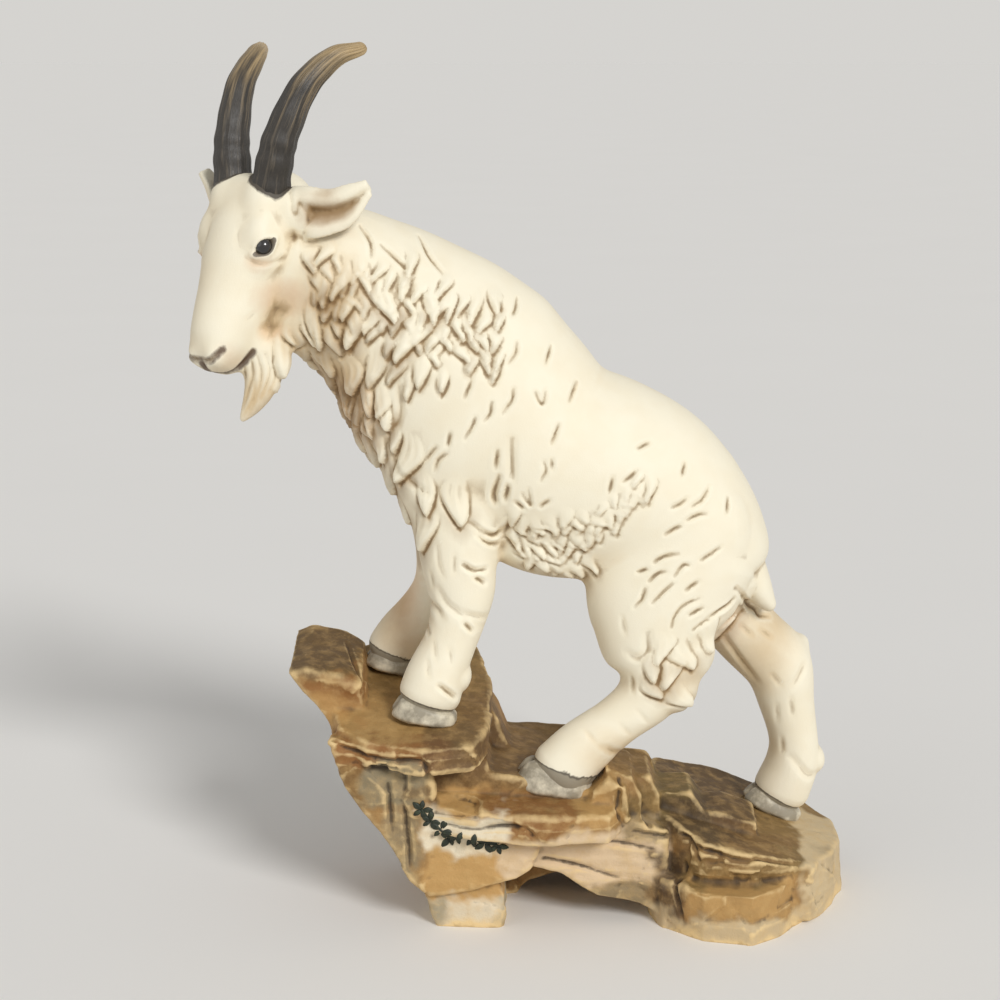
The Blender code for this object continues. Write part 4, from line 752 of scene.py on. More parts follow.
def carveBreeches(skin, side):
    rows = [
        ((46.0, 88), (49.5, 76), 8.4), ((40.0, 88), (43, 78.5), 6.6), ((36.5, 82), (39.3, 73.5), 6.0),
        ((42.0, 80), (44.5, 71.0), 7.6), ((49, 79), (53, 69.5), 7.8), ((37.5, 74.5), (39.8, 67), 5.4),
        ((51.5, 91), (56.8, 82.5), 7.2), ((45.0, 73), (48.0, 64.0), 6.8), ((50.5, 72.0), (52.5, 64.5), 5.4),
    ]
    shift = 0 if side < 0 else 16  # the far leg stands further back
    moved = [((a + shift, b), (c + shift, d), width) for (a, b), (c, d), width in rows]
    carveFlankLocks(skin, moved, side, 31 + side, 0.7)


def carveFolds(skin):
    soft = [
        [(-35, 138), (-30.5, 131), (-23.5, 127)], [(-32.5, 158), (-32, 150.5), (-34, 145), (-36.5, 139.5)],
        [(-22, 99.5), (-19.5, 95.5), (-15.5, 92.5), (-9, 87.5)], [(-27, 96), (-23.5, 94), (-20.5, 91)],
        [(-15.5, 93), (-12, 91.5), (-8, 90)], [(37.5, 87.5), (37, 82), (34.5, 80), (31.5, 81.5)],
        [(26, 53), (30, 50), (33, 52)], [(60, 82), (66, 73), (72, 65)], [(83, 41), (88, 35), (91, 34)],
        [(-1, 143), (-1, 136), (-1, 131)], [(86, 70), (83, 64)],
    ]
    sharp = [
        [(-12.5, 119), (-8.5, 115.5), (-5.5, 114.5), (-3, 117)], [(-11, 116), (-8, 113), (-5.5, 111.5)],
        [(-4.5, 132.5), (-6, 127.5), (-5.5, 124.5)], [(-2, 130), (-3, 125.5)], [(-1, 119.5), (-3.5, 114)],
        [(-14.5, 107), (-11.5, 105), (-8, 105)], [(-11.5, 103.5), (-8.5, 101), (-5, 100)],
        [(-14.5, 90), (-12, 87)], [(-24.5, 94), (-24.5, 86)], [(-21.5, 72), (-17, 67.5), (-13, 70)],
        [(54.5, 91), (58.5, 93), (60.5, 94), (62.5, 96)], [(62.5, 99), (69, 89), (72, 86), (75, 85)],
    ]
    fur = [
        [(-22, 113), (-21.5, 107), (-20, 103)], [(-17, 110), (-17, 104)], [(-24, 104), (-23, 99)],
        [(-23, 84), (-22.5, 79)], [(-18.5, 83), (-18, 77)], [(-25, 79), (-24.5, 74)],
        [(30, 60), (33, 56.5)],
        [(24, 54), (27.5, 51)], [(35, 64), (38, 60)], [(20, 58), (23, 55)], [(31, 53), (34.5, 51)],
        [(30, 92), (31, 87)], [(33, 74), (33.5, 69)], [(78, 58), (78.5, 52)], [(82, 60), (83, 54)],
        [(80, 47), (80.5, 42)], [(76, 68), (79, 64)], [(66, 84), (70, 80)], [(72, 82), (76, 79)],
    ]
    width, depth = coatForm["strokeWidth"], coatForm["strokeDepth"]
    carveLines(skin, fur, -1, 1.1 * width, 0.5 * depth, ridge=0.0)
    carveLines(skin, soft, -1, 1.8 * width, depth, ridge=0.0)
    carveLines(skin, sharp, -1, 1.2 * width, 1.4 * depth)
    carveLines(skin, sharp[-2:], 1, 1.2 * width, 1.4 * depth)


def carveCoat(skin):
    carveNeckLocks(skin)
    shoulder = [
        [(-5.5, 178.5), (-6, 176), (-6.5, 174)], [(0.5, 181), (0, 178), (-1, 176.5)],
        [(-4.5, 180.5), (-4, 177)],
        [(-14.5, 174.5), (-15, 171.5)], [(-19, 172), (-19.5, 168.5), (-21, 166)], [(-4, 168), (-6.5, 166)],
        [(0.5, 169.5), (0, 166.5), (-2.5, 163.5)], [(-0.5, 157), (-1, 154), (-3.5, 150.5)],
        [(-6.5, 153.5), (-7, 150.5), (-8.5, 148.5)], [(-11, 149.5), (-12, 147), (-14, 143.5)],
        [(-22, 141), (-25.5, 136.5)], [(-19, 139.5), (-21.5, 137), (-22.5, 134)], [(-18, 145), (-19, 141)],
        [(5.5, 156), (7.5, 153), (8.5, 156.5)], [(-27, 198), (-24, 193), (-20, 188)],
        [(-37, 196), (-32, 191.5), (-29.5, 189)], [(-43, 201), (-40, 197), (-39.5, 193)],
        [(8, 137), (8.5, 134.5), (7, 131.5)], [(10, 137.5), (10, 134.5)], [(-5, 140), (-5.5, 135)],
        [(7, 124), (9.5, 126)], [(0, 125), (2.5, 123)], [(2, 127.5), (4, 124.5), (3.5, 129)],
        [(-12, 160), (-14, 155)], [(10, 168), (8.5, 163.5)], [(17, 158), (15, 153)], [(12, 147), (10, 142)],
    ]
    haunch = [
        [(34, 140), (37.5, 141.5)], [(47.5, 135.5), (46.5, 132)], [(30, 131), (32, 132.5), (34, 134)],
        [(27, 132.5), (26, 128)], [(43.5, 123.5), (46, 124.5), (48, 126)],
        [(47.5, 119.5), (50.5, 121), (53.5, 121.5)],
        [(42, 116), (44.5, 117.5), (47, 118.5)], [(49.5, 123.5), (52.5, 125.5), (54.5, 128.5)],
        [(39, 108), (41.5, 109.5), (45.5, 110.5)], [(52, 108.5), (55, 110), (58, 112)],
        [(37.5, 102.5), (39.5, 104.5), (42, 105.5)], [(44.5, 104), (47, 107), (49, 107)],
        [(48, 100), (51.5, 102.5)],
        [(38.5, 96.5), (41.5, 99.5), (44.5, 102.5)], [(36.5, 100.5), (35.5, 97.5), (33.5, 95)],
        [(44, 89.5), (45, 92.5), (47.5, 95.5), (52, 97.5)], [(49, 92.5), (53, 94.5)],
        [(50.5, 88), (53.5, 90), (56, 91)], [(60, 125), (59.5, 121)], [(34.5, 105), (37, 106)],
    ]
    for side in (-1, 1):
        carveLines(skin, shoulder + haunch, side, coatForm["strokeWidth"], coatForm["strokeDepth"])
        carveFringe(skin, side)
        carveBreeches(skin, side)
    carveFolds(skin)


def faceLines():  # lines of the face in the head's frame, each with its width and depth
    return {
        "lowerLid": ([(5.6, 10.2, 7.2), (6.9, 11.6, 6.1), (6.6, 13.1, 4.8), (4.4, 14.3, 3.9)], 0.6, 0.35),
        "underEye": ([(8.4, 9.4, 6.8), (9.2, 11.7, 4.9), (8.7, 13, 3.5), (6.4, 14.2, 1.0),
                      (3.0, 15, -1.2)], 1.2, 0.6),
        "behindEye": ([(3.0, 15, -1.2), (-0.9, 15.6, -0.9), (-4.3, 14, 0.7)], 1.3, 0.3),
        "beforeEye": ([(1.5, 6.2, 10.5), (4.0, 6.4, 10.1), (7.2, 7.6, 8.6)], 1.4, 0.3),
        "nostril": ([(37.6, 0.2, 0.2), (37.8, 3.4, 0.3), (36.6, 5.6, 0.8), (33.5, 6.8, -0.2)], 1.15, 1.4),
        "lipCleft": ([(38.2, 0.2, 0.0), (38.6, 0.3, -3.4)], 0.8, 0.9),
        "mouth": ([(38.5, 1, -5.5), (37.4, 2, -8.2), (35.5, 3.9, -9.6), (32.7, 5.9, -9.5),
                   (29.3, 7.9, -9.2)], 1.0, 1.3),
        "cheekFront": ([(23.6, 9.4, -1.7), (19.7, 10.2, -3.1)], 1.3, 0.3),
        "jawLine": ([(26.5, 9.5, -9.8), (22, 9.8, -11.8), (17.6, 11.6, -12.5), (13.5, 13.5, -12.0)],
                    1.8, 0.4),
    }


def earLines():  # folds of the near ear
    return [[(-58.5, -14, 206.5), (-54.5, -16, 208.5), (-49.0, -17.5, 210.0), (-44.0, -18.5, 211.0)],
            [(-61.5, -13, 210.0), (-60.2, -14, 204.5), (-58.6, -15, 207.5), (-57.0, -16, 202.5)],
            [(-57.5, -16, 199.5), (-52.0, -18, 200.0), (-46.5, -19, 202.5)]]


def headPoints(place, line, side):
    return [np.array(place @ (Vector((a, side * b, c)) * mm)) / mm for a, b, c in line]


def eyeSeat(skin, place, side):  # the skin's point and normal at the eye, and the eye's long direction
    seat, normal = skin.surface.find_nearest(Vector(headPoints(place, [headForm["eye"]], side)[0]))[:2]
    ends = headPoints(place, [(5.6, 10.6, 7.0), (-0.8, 14.0, 5.2)], side)
    long = ends[1] - ends[0]
    normal = np.array(normal)
    long -= normal * normal.dot(long)
    return np.array(seat), normal, long / np.linalg.norm(long)


def eyeRing(u, v):  # 1 on the edge of the lids, an almond about the ball
    return np.hypot(u / 3.0, v / (1.75 - 0.06 * np.minimum(u * u, 9.0)))


def carveEye(skin, place, side):  # a hollow for the ball, with lids that stand round it
    seat, normal, long = eyeSeat(skin, place, side)
    up = np.cross(long, normal) * side
    found = skin.near(seat, 9.0)
    away = skin.points[found] - seat
    u, v = away @ long, away @ up
    ring = eyeRing(u, v)
    lids = np.exp(-((ring - 1.3) / 0.34) ** 2) * (0.75 + 0.35 * np.tanh(v)) * headForm["lidRise"]
    brow = np.exp(-((v - 4.6) / 2.2) ** 2 - (u / 5.5) ** 2) * 0.5
    skin.lift[found] = np.maximum(skin.lift[found], np.maximum(lids, brow))
    skin.cut[found] = np.minimum(skin.cut[found], -1.6 * np.clip((1.05 - ring) / 0.25, 0, 1))


def carveFace(skin, place):
    for side in (-1, 1):
        for line, width, depth in faceLines().values():
            skin.groove(headPoints(place, line, side), width, depth)
        carveEye(skin, place, side)
    for line in earLines():
        skin.groove(line, 0.8, 0.7)


def carveBeard(skin):
    waves = [
        [(-73.6, 166), (-73.0, 160.5), (-74.6, 155.5), (-76.4, 150)],
        [(-71.6, 165.5), (-70.6, 160), (-72.2, 154), (-74.8, 148.5)],
        [(-69.4, 166), (-68.2, 161), (-69.6, 156.5), (-71.6, 152.5)],
        [(-67.2, 163.5), (-66.8, 159), (-68.6, 155)],
        [(-72.4, 158), (-73.2, 153.5), (-76.2, 148.2)], [(-75.3, 163), (-75.6, 158), (-76.6, 154)],
    ]
    for side in (-1, 1):
        for line in waves:
            skin.trace(line, side, 0.8, 0.6)


# Carving of the stone

def chipSites(skin):
    dice = random.Random(41)
    chip = rockForm["chip"]
    low, high = skin.points.min(axis=0), skin.points.max(axis=0)
    step = np.array((chip, chip, 0.7 * chip))
    counts = np.ceil((high - low) / step).astype(int)
    sites = []
    for i in range(counts[0]):
        for j in range(counts[1]):
            for k in range(counts[2]):
                jitter = np.array([dice.random() for _ in range(3)])
                tilt = Vector([dice.uniform(-1, 1) for _ in range(3)])
                sites.append((low + (np.array((i, j, k)) + jitter) * step, tilt * rockForm["chipTilt"]))
    tree = KDTree(len(sites))
    for i, (middle, _) in enumerate(sites):
        tree.insert(middle, i)
    tree.balance()
    return sites, tree


def strataStrength(point):  # layered stone shows in bands: x and z ranges and how strongly
    bands = [(-52, -10, 49, 58, 1.0), (-24, 30, 30, 38, 0.9), (-10, 34, 26, 31, 0.4), (50, 98, 18, 26, 1.0),
             (-4, 42, 10, 24, 0.7), (-62, -45, 60, 72, 0.45), (-52, -26, 28, 48, 0.35),
             (84, 98, 2, 18, 0.6), (-24, 6, 12, 24, 0.4)]
    best = 0.12
    for x0, x1, z0, z1, strength in bands:
        inside = min(point.x - x0, x1 - point.x, point.z - z0, z1 - point.z)
        best = max(best, strength * min(1.0, max(0.0, 0.5 + inside / 2.5)))
    return best


def weatherStone(skin):
    sites, tree = chipSites(skin)
    for i, (point, normal) in enumerate(zip(skin.points, skin.normals)):
        here = Vector(point)
        lumps = noise.noise(here / 17.0) * 0.9 + noise.noise(here / 7.0 + Vector((5, 1, 2))) * 0.32
        lumps += noise.noise(here / 2.4) * 0.12 + noise.noise(here / 1.2) * 0.06
        middle, nearest, _ = tree.find(here)
        chip = (here - middle).dot(sites[nearest][1])
        bend = noise.noise(Vector((here.x / 24.0, here.y / 28.0, 3.0))) * 2.6
        bend += noise.noise(here / 9.0) * 0.7
        layer = (here.z + bend + 0.1 * here.x) / rockForm["strata"]
        tooth = layer - math.floor(layer)
        step = (tooth**1.6 - 0.4) if tooth < 0.82 else (0.33 - (tooth - 0.82) * 4)
        steep = max(0.0, 1 - abs(normal[2]) * 1.3)
        skin.lift[i] += lumps + (0.25 + 0.75 * steep) * chip
        skin.lift[i] += steep * strataStrength(here) * rockForm["relief"] * step


def splitStone(skin):
    cracks = [
        [(-51.5, 57.5), (-46.5, 55), (-36, 53), (-26.5, 53.5), (-24.5, 49.5), (-24.7, 39)],
        [(-36, 45), (-35.5, 38), (-35, 31)], [(-31.3, 37.5), (-30.5, 28), (-30, 19)],
        [(34, 28.5), (42, 27), (50.3, 26.5), (53, 20)], [(51.5, 25.5), (62, 22.5), (74, 21), (83, 18.5)],
        [(-49.5, 76), (-46.5, 72), (-44.5, 67)], [(-24, 34), (-12, 33), (2, 34), (6, 30)],
        [(-4, 27.5), (10, 26), (26, 25.5), (40, 23)], [(4, 21), (16, 18.5), (30, 14)],
        [(30, 44), (29.5, 36), (31, 30)], [(38.5, 43), (37, 34), (39, 29)], [(49, 19), (46, 12), (48, 4)],
    ]
    for line in cracks:
        for side in (-1, 1):
            depth = rockForm["crackDepth"] * (1 if side < 0 else 0.6)
            skin.trace(line, side, rockForm["crackWidth"], depth)
    recesses = {"chipRecess": (-17.0, 37.6, 6.5, 1.7, 1.4), "hollow": (-38.4, 50.0, 2.8, 1.5, 1.0),
                "panel": (66, 11, 15.5, 5.6, 0.8)}
    for x, z, halfX, halfZ, depth in recesses.values():
        skin.dent(skin.flank(x, z, -1), (halfX, halfZ), depth)


def grindFlat(rock):
    deselectAll()
    bpy.ops.mesh.primitive_cube_add(size=1, location=(0, 0, -0.025), scale=(0.4, 0.4, 0.05))
    stone = bpy.context.active_object
    cut = rock.modifiers.new("ground foot", "BOOLEAN")
    cut.operation = "DIFFERENCE"
    cut.solver = "EXACT"
    cut.object = stone
    applyAll(rock)
    bpy.data.objects.remove(stone)


# Painted marks, kept as attributes of the mesh

def surfaceNormals(obj):
    flat = np.empty(len(obj.data.vertices) * 3)
    obj.data.vertices.foreach_get("normal", flat)
    return flat.reshape(-1, 3)


def hollowness(obj, passes):  # above 0 in recesses and below 0 on edges, in millimetres
    points = getPoints(obj)
    pairs = meshEdges(obj)
    return np.einsum("ij,ij->i", smoothField(points, pairs, passes) - points, surfaceNormals(obj))


def writeMark(obj, name, values):
    layer = obj.data.attributes.new(name, "FLOAT", "POINT")
    layer.data.foreach_set("value", np.asarray(values, np.float32))


def softPatch(points, centre, radii):  # 1 in the middle of an ellipsoid, 0 outside it
    away = np.linalg.norm((points - np.array(centre)) / np.array(radii), axis=1)
    return np.clip(1.6 * (1 - away), 0, 1)


def alongPaths(points, paths, width):  # 1 on the paths, 0 at width from them
    near = np.full(len(points), 9.0)
    for path in paths:
        for spot in smoothRows(path, 12):
            near = np.minimum(near, np.linalg.norm(points - spot, axis=1) / width)
    return np.clip(1 - near, 0, 1)


def grainField(points, size, seed):
    shift = Vector((seed, 2 * seed, 3 * seed))
    return np.array([noise.noise(Vector(p) / size + shift) for p in points])


def markGoat(goat, place, seats):
    points = getPoints(goat)
    writeMark(goat, "recess", np.clip(hollowness(goat, 10) / 0.35, -1, 1))
    writeMark(goat, "broadRecess", np.clip(hollowness(goat, 60) / 1.1, -1, 1))
    lines = faceLines()
    mouth = []
    # the dark lines along the folds of the near ear are painted shade under the flap and at the root; the
    # liner round the eyes is paint
    lids = 0.9 * alongPaths(points, earLines(), 1.3)
    for side in (-1, 1):
        mouth += [headPoints(place, lines[name][0], side) for name in ("nostril", "lipCleft", "mouth")]
    writeMark(goat, "lipPaint", alongPaths(points, mouth, 2.3))
    for side, (seat, normal, long) in zip((1, -1), seats):
        away = points - seat
        u, v = away @ long, away @ np.cross(long, normal) * side
        close = np.linalg.norm(away, axis=1) < 7
        liner = np.clip(1.25 - np.abs(eyeRing(u, v) - 1.08) / 0.32, 0, 1) * (v > -0.5)
        lids = np.maximum(lids, close * liner)
        lids = np.maximum(lids, close * (eyeRing(u, v) < 1.0))
    writeMark(goat, "lidPaintAndFoldShade", lids)
    blushAndShade = np.zeros(len(points))
    # warm tint: on the cheeks, jaw, muzzle, under the eyes and on the ears it is partly pink paint and
    # partly painted shade; on the inner thigh, inner arm, chest and far foreleg it is painted shade
    headSpots = {"cheek": (13, 14, -7, 14, 8, 7), "jaw": (22, 9, -11, 9, 5, 4),
                 "muzzle": (33, 4, -4, 6, 7, 6), "underEye": (8.5, 12, 4.5, 5, 5, 4)}
    for a, b, c, ra, rb, rc in headSpots.values():
        for side in (-1, 1):
            spot = np.array(place @ (Vector((a, side * b, c)) * mm)) / mm
            blushAndShade = np.maximum(blushAndShade, softPatch(points, spot, (ra, rb, rc)))
    bodySpots = {"earNear": ((-50, -17, 205), (12, 5, 9)), "earFar": ((-84, 8, 206), (7, 7, 9)),
                 "innerThigh": ((58, -2, 84), (12, 12, 14)), "innerArm": ((-10, 0, 105), (10, 12, 16)),
                 "chest": ((-44, -8, 150), (14, 16, 18)), "farFore": ((-32, 10, 88), (8, 8, 22))}
    for centre, radii in bodySpots.values():
        blushAndShade = np.maximum(blushAndShade, softPatch(points, centre, radii))
    writeMark(goat, "blushAndShade", blushAndShade)
    shade = np.zeros(len(points))
    shadeSpots = {"chest": ((-49, -8, 155), (17, 26, 28)), "neck": ((-50, -14, 180), (15, 16, 20)),
                  "throat": ((-62, -8, 172), (14, 14, 14)),
                  "foreleg": ((-24, -8, 84), (9, 14, 28)), "farFore": ((-36, 12, 84), (10, 12, 26)),
                  "belly": ((14, 0, 98), (32, 22, 10)), "farHind": ((66, 10, 78), (14, 14, 22)),
                  "breeches": ((44, -12, 74), (14, 14, 14)), "hock": ((72, 8, 76), (16, 16, 20)),
                  "beard": ((-72, -12, 152), (10, 10, 14)), "hindCannon": ((26, -14, 52), (16, 14, 10))}
    for centre, radii in shadeSpots.values():
        shade = np.maximum(shade, softPatch(points, centre, radii))
    normals = surfaceNormals(goat)
    shade = np.maximum(shade, 0.7 * np.clip(-0.9 * normals[:, 0] - 0.25, 0, 1))
    writeMark(goat, "shade", np.maximum(shade, 0.9 * np.clip(-normals[:, 2] - 0.2, 0, 1)))
    inner = softPatch(points, (-50.5, -17.5, 206.0), (14, 6, 9))
    writeMark(goat, "earInside", np.maximum(inner, softPatch(points, (-85, 8, 208), (3.5, 6, 6))))
    roots = np.zeros(len(points))
    for side in (-1, 1):
        axis = [headPoints(place, [row[:3]], side)[0] for row in hornRows(1)]
        for start, end in zip(axis, axis[1:]):
            t = np.clip(((points - start) @ (end - start)) / ((end - start) @ (end - start)), 0, 1)
            away = np.linalg.norm(points - (start + t[:, None] * (end - start)), axis=1)
            roots = np.maximum(roots, np.clip((hornForm["root"] + 1.2 - away) / 1.2, 0, 1))
    writeMark(goat, "hornRoot", roots)
    hooves = np.zeros(len(points))
    for toe, heel, y, toeHeight, heelHeight in hoofPlaces().values():
        run = np.clip((points[:, 0] - toe[0]) / (heel[0] - toe[0]), 0, 1)
        top = toe[1] + (heel[1] - toe[1]) * run + toeHeight + (heelHeight - toeHeight) * run
        ahead = (points[:, 0] > toe[0] - 4) & (points[:, 0] < heel[0] + 4)
        inside = (np.abs(points[:, 1] - y) < 11) & ahead
        hooves = np.maximum(hooves, np.clip((top - points[:, 2] + 0.6) / 0.8, 0, 1) * inside)
    writeMark(goat, "hoofPaint", hooves)


def rockColours(points, normals):  # the base coat, laid on as overlapping soft patches
    coat = {name: np.array(linearColour(code)[:3]) for name, code in rockPaint["coats"].items()}
    wobble = np.stack([grainField(points, 7.0, seed) for seed in (1, 5, 9)], axis=1) * 3.4
    fine = np.stack([grainField(points, 2.2, seed) for seed in (2, 6, 8)], axis=1) * 1.6
    moved = points + wobble + fine
    colour = np.tile(coat["ochre"], (len(points), 1))
    blotch = np.clip(0.5 + 1.5 * grainField(points, 16.0, 12), 0, 1)[:, None]
    colour = colour * (1 - 0.55 * blotch) + coat["brown"] * 0.55 * blotch
    # painted shade: surfaces facing up are darkened with olive, as if lit from the front
    up = np.clip((normals[:, 2] - 0.35) / 0.4, 0, 1)[:, None]
    colour = colour * (1 - 0.6 * up) + coat["olive"] * 0.6 * up
    # full inside, fading over two millimetres
    for name, x0, x1, z0, z1, depth, strength in rockPaint["patches"]:
        inside = np.minimum.reduce([moved[:, 0] - x0, x1 - moved[:, 0], moved[:, 2] - z0, z1 - moved[:, 2],
                                    depth - moved[:, 1]])
        share = (np.clip(0.5 + inside / 2.4, 0, 1) * strength)[:, None]
        colour = colour * (1 - share) + coat[name] * share
    return colour


def markRock(rock):
    points = getPoints(rock)
    normals = surfaceNormals(rock)
    writeMark(rock, "recess", np.clip(hollowness(rock, 6) / 0.35, -1, 1))
    writeMark(rock, "broadRecess", np.clip(hollowness(rock, 40) / 1.3, -1, 1))
    colour = np.ones((len(points), 4), np.float32)
    colour[:, :3] = rockColours(points, normals)
    layer = rock.data.color_attributes.new("baseCoat", "FLOAT_COLOR", "POINT")
    layer.data.foreach_set("color", colour.ravel())


# Horns, eyes and leaves

def hornRows(side):
    r, spread = hornForm["root"], side * hornForm["spread"]
    return [
        (-7.0, 0.32 * spread, 3.0, r * 1.04, r), (-12.8, 0.37 * spread, 7.3, r * 1.02, r * 0.97),
        (-20.0, 0.44 * spread, 11.0, r * 0.93, r * 0.9), (-27.1, 0.5 * spread, 13.4, r * 0.86, r * 0.82),
        (-40.2, 0.63 * spread, 15.0, r * 0.72, r * 0.68), (-51.2, 0.77 * spread, 12.0, r * 0.54, r * 0.52),
        (-56.6, 0.97 * spread, 8.0, hornForm["tip"], hornForm["tip"])]


def makeHorn(name, side, place):
    horn = limb(name, hornRows(side), sides=72, perSpan=16, place=place, dome=1.0)
    rings = len(horn.data.vertices) // 72
    along = np.zeros(len(horn.data.vertices))
    around = np.zeros(len(horn.data.vertices))
    for i in range(len(along)):
        along[i] = min(1.0, (i // 72) / (rings - 1))
        around[i] = (i % 72) / 72
    along[-2], along[-1] = 0.0, 1.0
    dice = random.Random(7 + side)
    skin = Carving(horn)
    for i, point in enumerate(skin.points):
        ring = math.sin(2 * math.pi * hornForm["ringCount"] * along[i] ** 1.25) * (1 - along[i]) ** 1.2
        streak = noise.noise(Vector((math.cos(2 * math.pi * around[i]) * 3.2,
                                     math.sin(2 * math.pi * around[i]) * 3.2, along[i] * 1.6 + side * 4)))
        skin.lift[i] = hornForm["ringHeight"] * ring + hornForm["streakHeight"] * 2 * streak
    skin.lift[-2:] = 0
    skin.finish()
    writeMark(horn, "along", along)
    shift = dice.random()
    angle = 2 * math.pi * (around + shift)
    writeMark(horn, "aroundX", np.cos(angle))
    writeMark(horn, "aroundY", np.sin(angle))
    return horn


def makeEye(name, seat, normal, sink):  # sunk in its hollow so that a round cap shows between the lids
    r = headForm["eyeRadius"]
    return lump(name, tuple(seat - normal * sink * r), (r, r, r))


def makeLeafSprigs(rock):
    stone = Carving(rock)
    length = leafForm["length"]
    leaves = []
    stems = []
    dice = random.Random(61)
    for path in ([(-26.5, 37.5), (-24, 34), (-21, 31.5), (-18.5, 28.5)],
                 [(-16.5, 29.0), (-12, 28.5), (-8.5, 27), (-5, 26)]):
        stem = [stone.flank(x, z, -1) for x, z, _ in smoothRows([(x, z, 0) for x, z in path], 4)]
        rows = [(*(seat - (0, 0.1, 0)), 0.35, 0.35) for seat in stem if seat is not None]
        stems.append(limb("stem", rows, sides=10, perSpan=2))
        for x, z in path:
            for k in range(5):  # leaflets spread like a fan from each joint of the stem
                angle = 2 * math.pi * (k + dice.uniform(-0.25, 0.25)) / 5
                size = length * dice.uniform(0.75, 1.15)
                seat = stone.flank(x + 0.55 * size * math.cos(angle), z + 0.55 * size * math.sin(angle), -1)
                if seat is None:
                    continue
                leaf = makeLeaf(size)
                turn = Matrix.Rotation(-angle, 4, "Y")
                leaf.data.transform(Matrix.Translation(Vector(seat - (0, 0.1, 0)) * mm) @ turn)
                leaves.append(leaf)
    return joinParts("leaves", leaves), joinParts("stems", stems)


def makeLeaf(length):  # a pointed, slightly domed leaflet in the XZ plane, facing -Y
    deselectAll()
    bpy.ops.mesh.primitive_uv_sphere_add(segments=18, ring_count=10, radius=1)
    leaf = bpy.context.active_object
    for v in leaf.data.vertices:
        a, b, c = v.co
        point = 1 - 0.55 * a * a
        crease = 0.35 * max(0.0, 1 - abs(c) / 0.3)
        v.co = Vector((a * length / 2, (b * leafForm["rise"] * point) + crease * (b < 0) * 0.5,
                       c * length * 0.27 * point)) * mm
    return leaf


# Paint: brush mottle is about 11 mm across and sponge grain about 2 mm; the real tooth of the bisque is near
# 0.05 mm and is drawn at 0.4 mm, so that it shows

rockPaint = {
    "coats": {"ochre": "#A27B47", "brown": "#77592F", "olive": "#6E5B31", "rust": "#8A5726",
              "grey": "#8C8064",
              "dark": "#46321C", "white": "#E9DCC0", "pink": "#DCC29E", "tan": "#C39A5E",
              "pale": "#D3BE97"},
    "patches": [  # coat, x and z ranges, how far back it reaches, and how strongly it covers
        # the dark patches over the tops of the prow and the tail shelf, and the brown band over the hind
        # shelf's top, are painted shade: the tops are darkened
        ("dark", -68, -44, 72, 80, 20, 0.65), ("rust", -60, -44, 61, 71, 6, 0.6),
        ("tan", -58, -49, 58, 66, 0, 0.6),
        ("tan", -53, -8, 58, 64, 8, 0.45), ("rust", -51, -20, 50, 57.5, -14, 0.7),
        ("dark", -26, 3, 41, 64, 16, 0.6),
        ("brown", -51, -43, 38, 51, 0, 0.5), ("grey", -43, -25.5, 38.5, 53, 0, 0.9),
        ("grey", -37, -28, 16, 38, 0, 0.7),
        ("dark", -26, -23.5, 36, 54, 0, 0.85), ("brown", -30, 30, 41, 46, 30, 0.6),
        ("tan", -23, -9, 36, 41, -10, 0.8),
        ("rust", -9, 18, 32, 39, -14, 0.6), ("tan", 18, 31, 33, 44, -10, 0.6),
        ("tan", -26, 6, 8, 24, -8, 0.85),
        ("white", -27, -2, 24, 36, -10, 0.95), ("white", -26, -2, -4, 9.5, -6, 0.8),
        ("grey", -27, -20, -4, 9.5, -6, 0.7), ("grey", -6, 0, -4, 9.5, -2, 0.6),
        ("pink", -4, 45, 12, 31, -6, 0.95),
        ("grey", 14, 40, 5, 12, -4, 0.7), ("olive", 41, 58, 26, 48, 10, 0.9),
        ("olive", 30, 41, 26, 40, 4, 0.7),
        ("brown", 27, 42, 38, 50, 10, 0.45), ("dark", 44, 100, 24, 34, 40, 0.75),
        ("brown", 48, 92, 20, 26, -8, 0.8),
        ("olive", 48, 84, 15, 20, -14, 0.5), ("tan", 50, 82, 7, 16, -14, 0.7),
        ("dark", 40, 48, 5, 22, -6, 0.85),
        ("pale", 38, 84, -4, 6, -10, 0.75), ("pale", 84, 100, -2, 23, 20, 0.85),
    ],
}
coatPaint = {"body": "#F3E9CF", "brightAndHighlight": "#F7F0DA", "shade": "#DDBE8B", "wash": "#9A8462",
             "deep": "#55402A", "umber": "#8F6C3C",
             "blushAndShade": "#D9AD84", "roots": "#33291F", "lips": "#4A2F1E", "lids": "#3A2A20", "ear": "#8E6F45"}
hornPaint = {"base": "#37322C", "deep": "#1B1814", "dust": "#B99F74", "streak": "#6B6050"}
hoofPaint = {"base": "#9A917E", "wear": "#E9DFC6", "deep": "#3B3124"}
# edge is cream dry brush with painted highlight; deep is the dark of the cracks and of the painted shade in
# broad hollows
rockFinish = {"edge": "#E6C891", "deep": "#2B1C0D", "dry": "#C9A56B"}
leafPaint = {"base": "#20271A", "light": "#4C5637"}
eyePaint = {"ball": "#0B0908", "corner": "#5C3A22"}


def newMaterial(name, roughness, coat=0.0):
    material = bpy.data.materials.new(name)
    material.use_nodes = True
    tree = material.node_tree
    shader = next(node for node in tree.nodes if node.type == "BSDF_PRINCIPLED")
    shader.inputs["Roughness"].default_value = roughness
    shader.inputs["Metallic"].default_value = 0.0
    shader.inputs["Coat Weight"].default_value = coat
    shader.inputs["Coat Roughness"].default_value = 0.25
    return material, tree, shader


# painted marks by name, and noise with cells of so many millimetres
def readSurface(tree, marks, grains):
    place = addNode(tree, "ShaderNodeTexCoord").outputs["Object"]
    read = {name: addNode(tree, "ShaderNodeAttribute",
                          {"attribute_name": name}).outputs["Fac"] for name in marks}
    for name, (cell, detail) in grains.items():
        read[name] = addNode(tree, "ShaderNodeTexNoise", None,
                             {"Scale": 1 / (cell * mm), "Detail": detail, "Roughness": 0.6},
                             {"Vector": place}).outputs["Fac"]
    return read


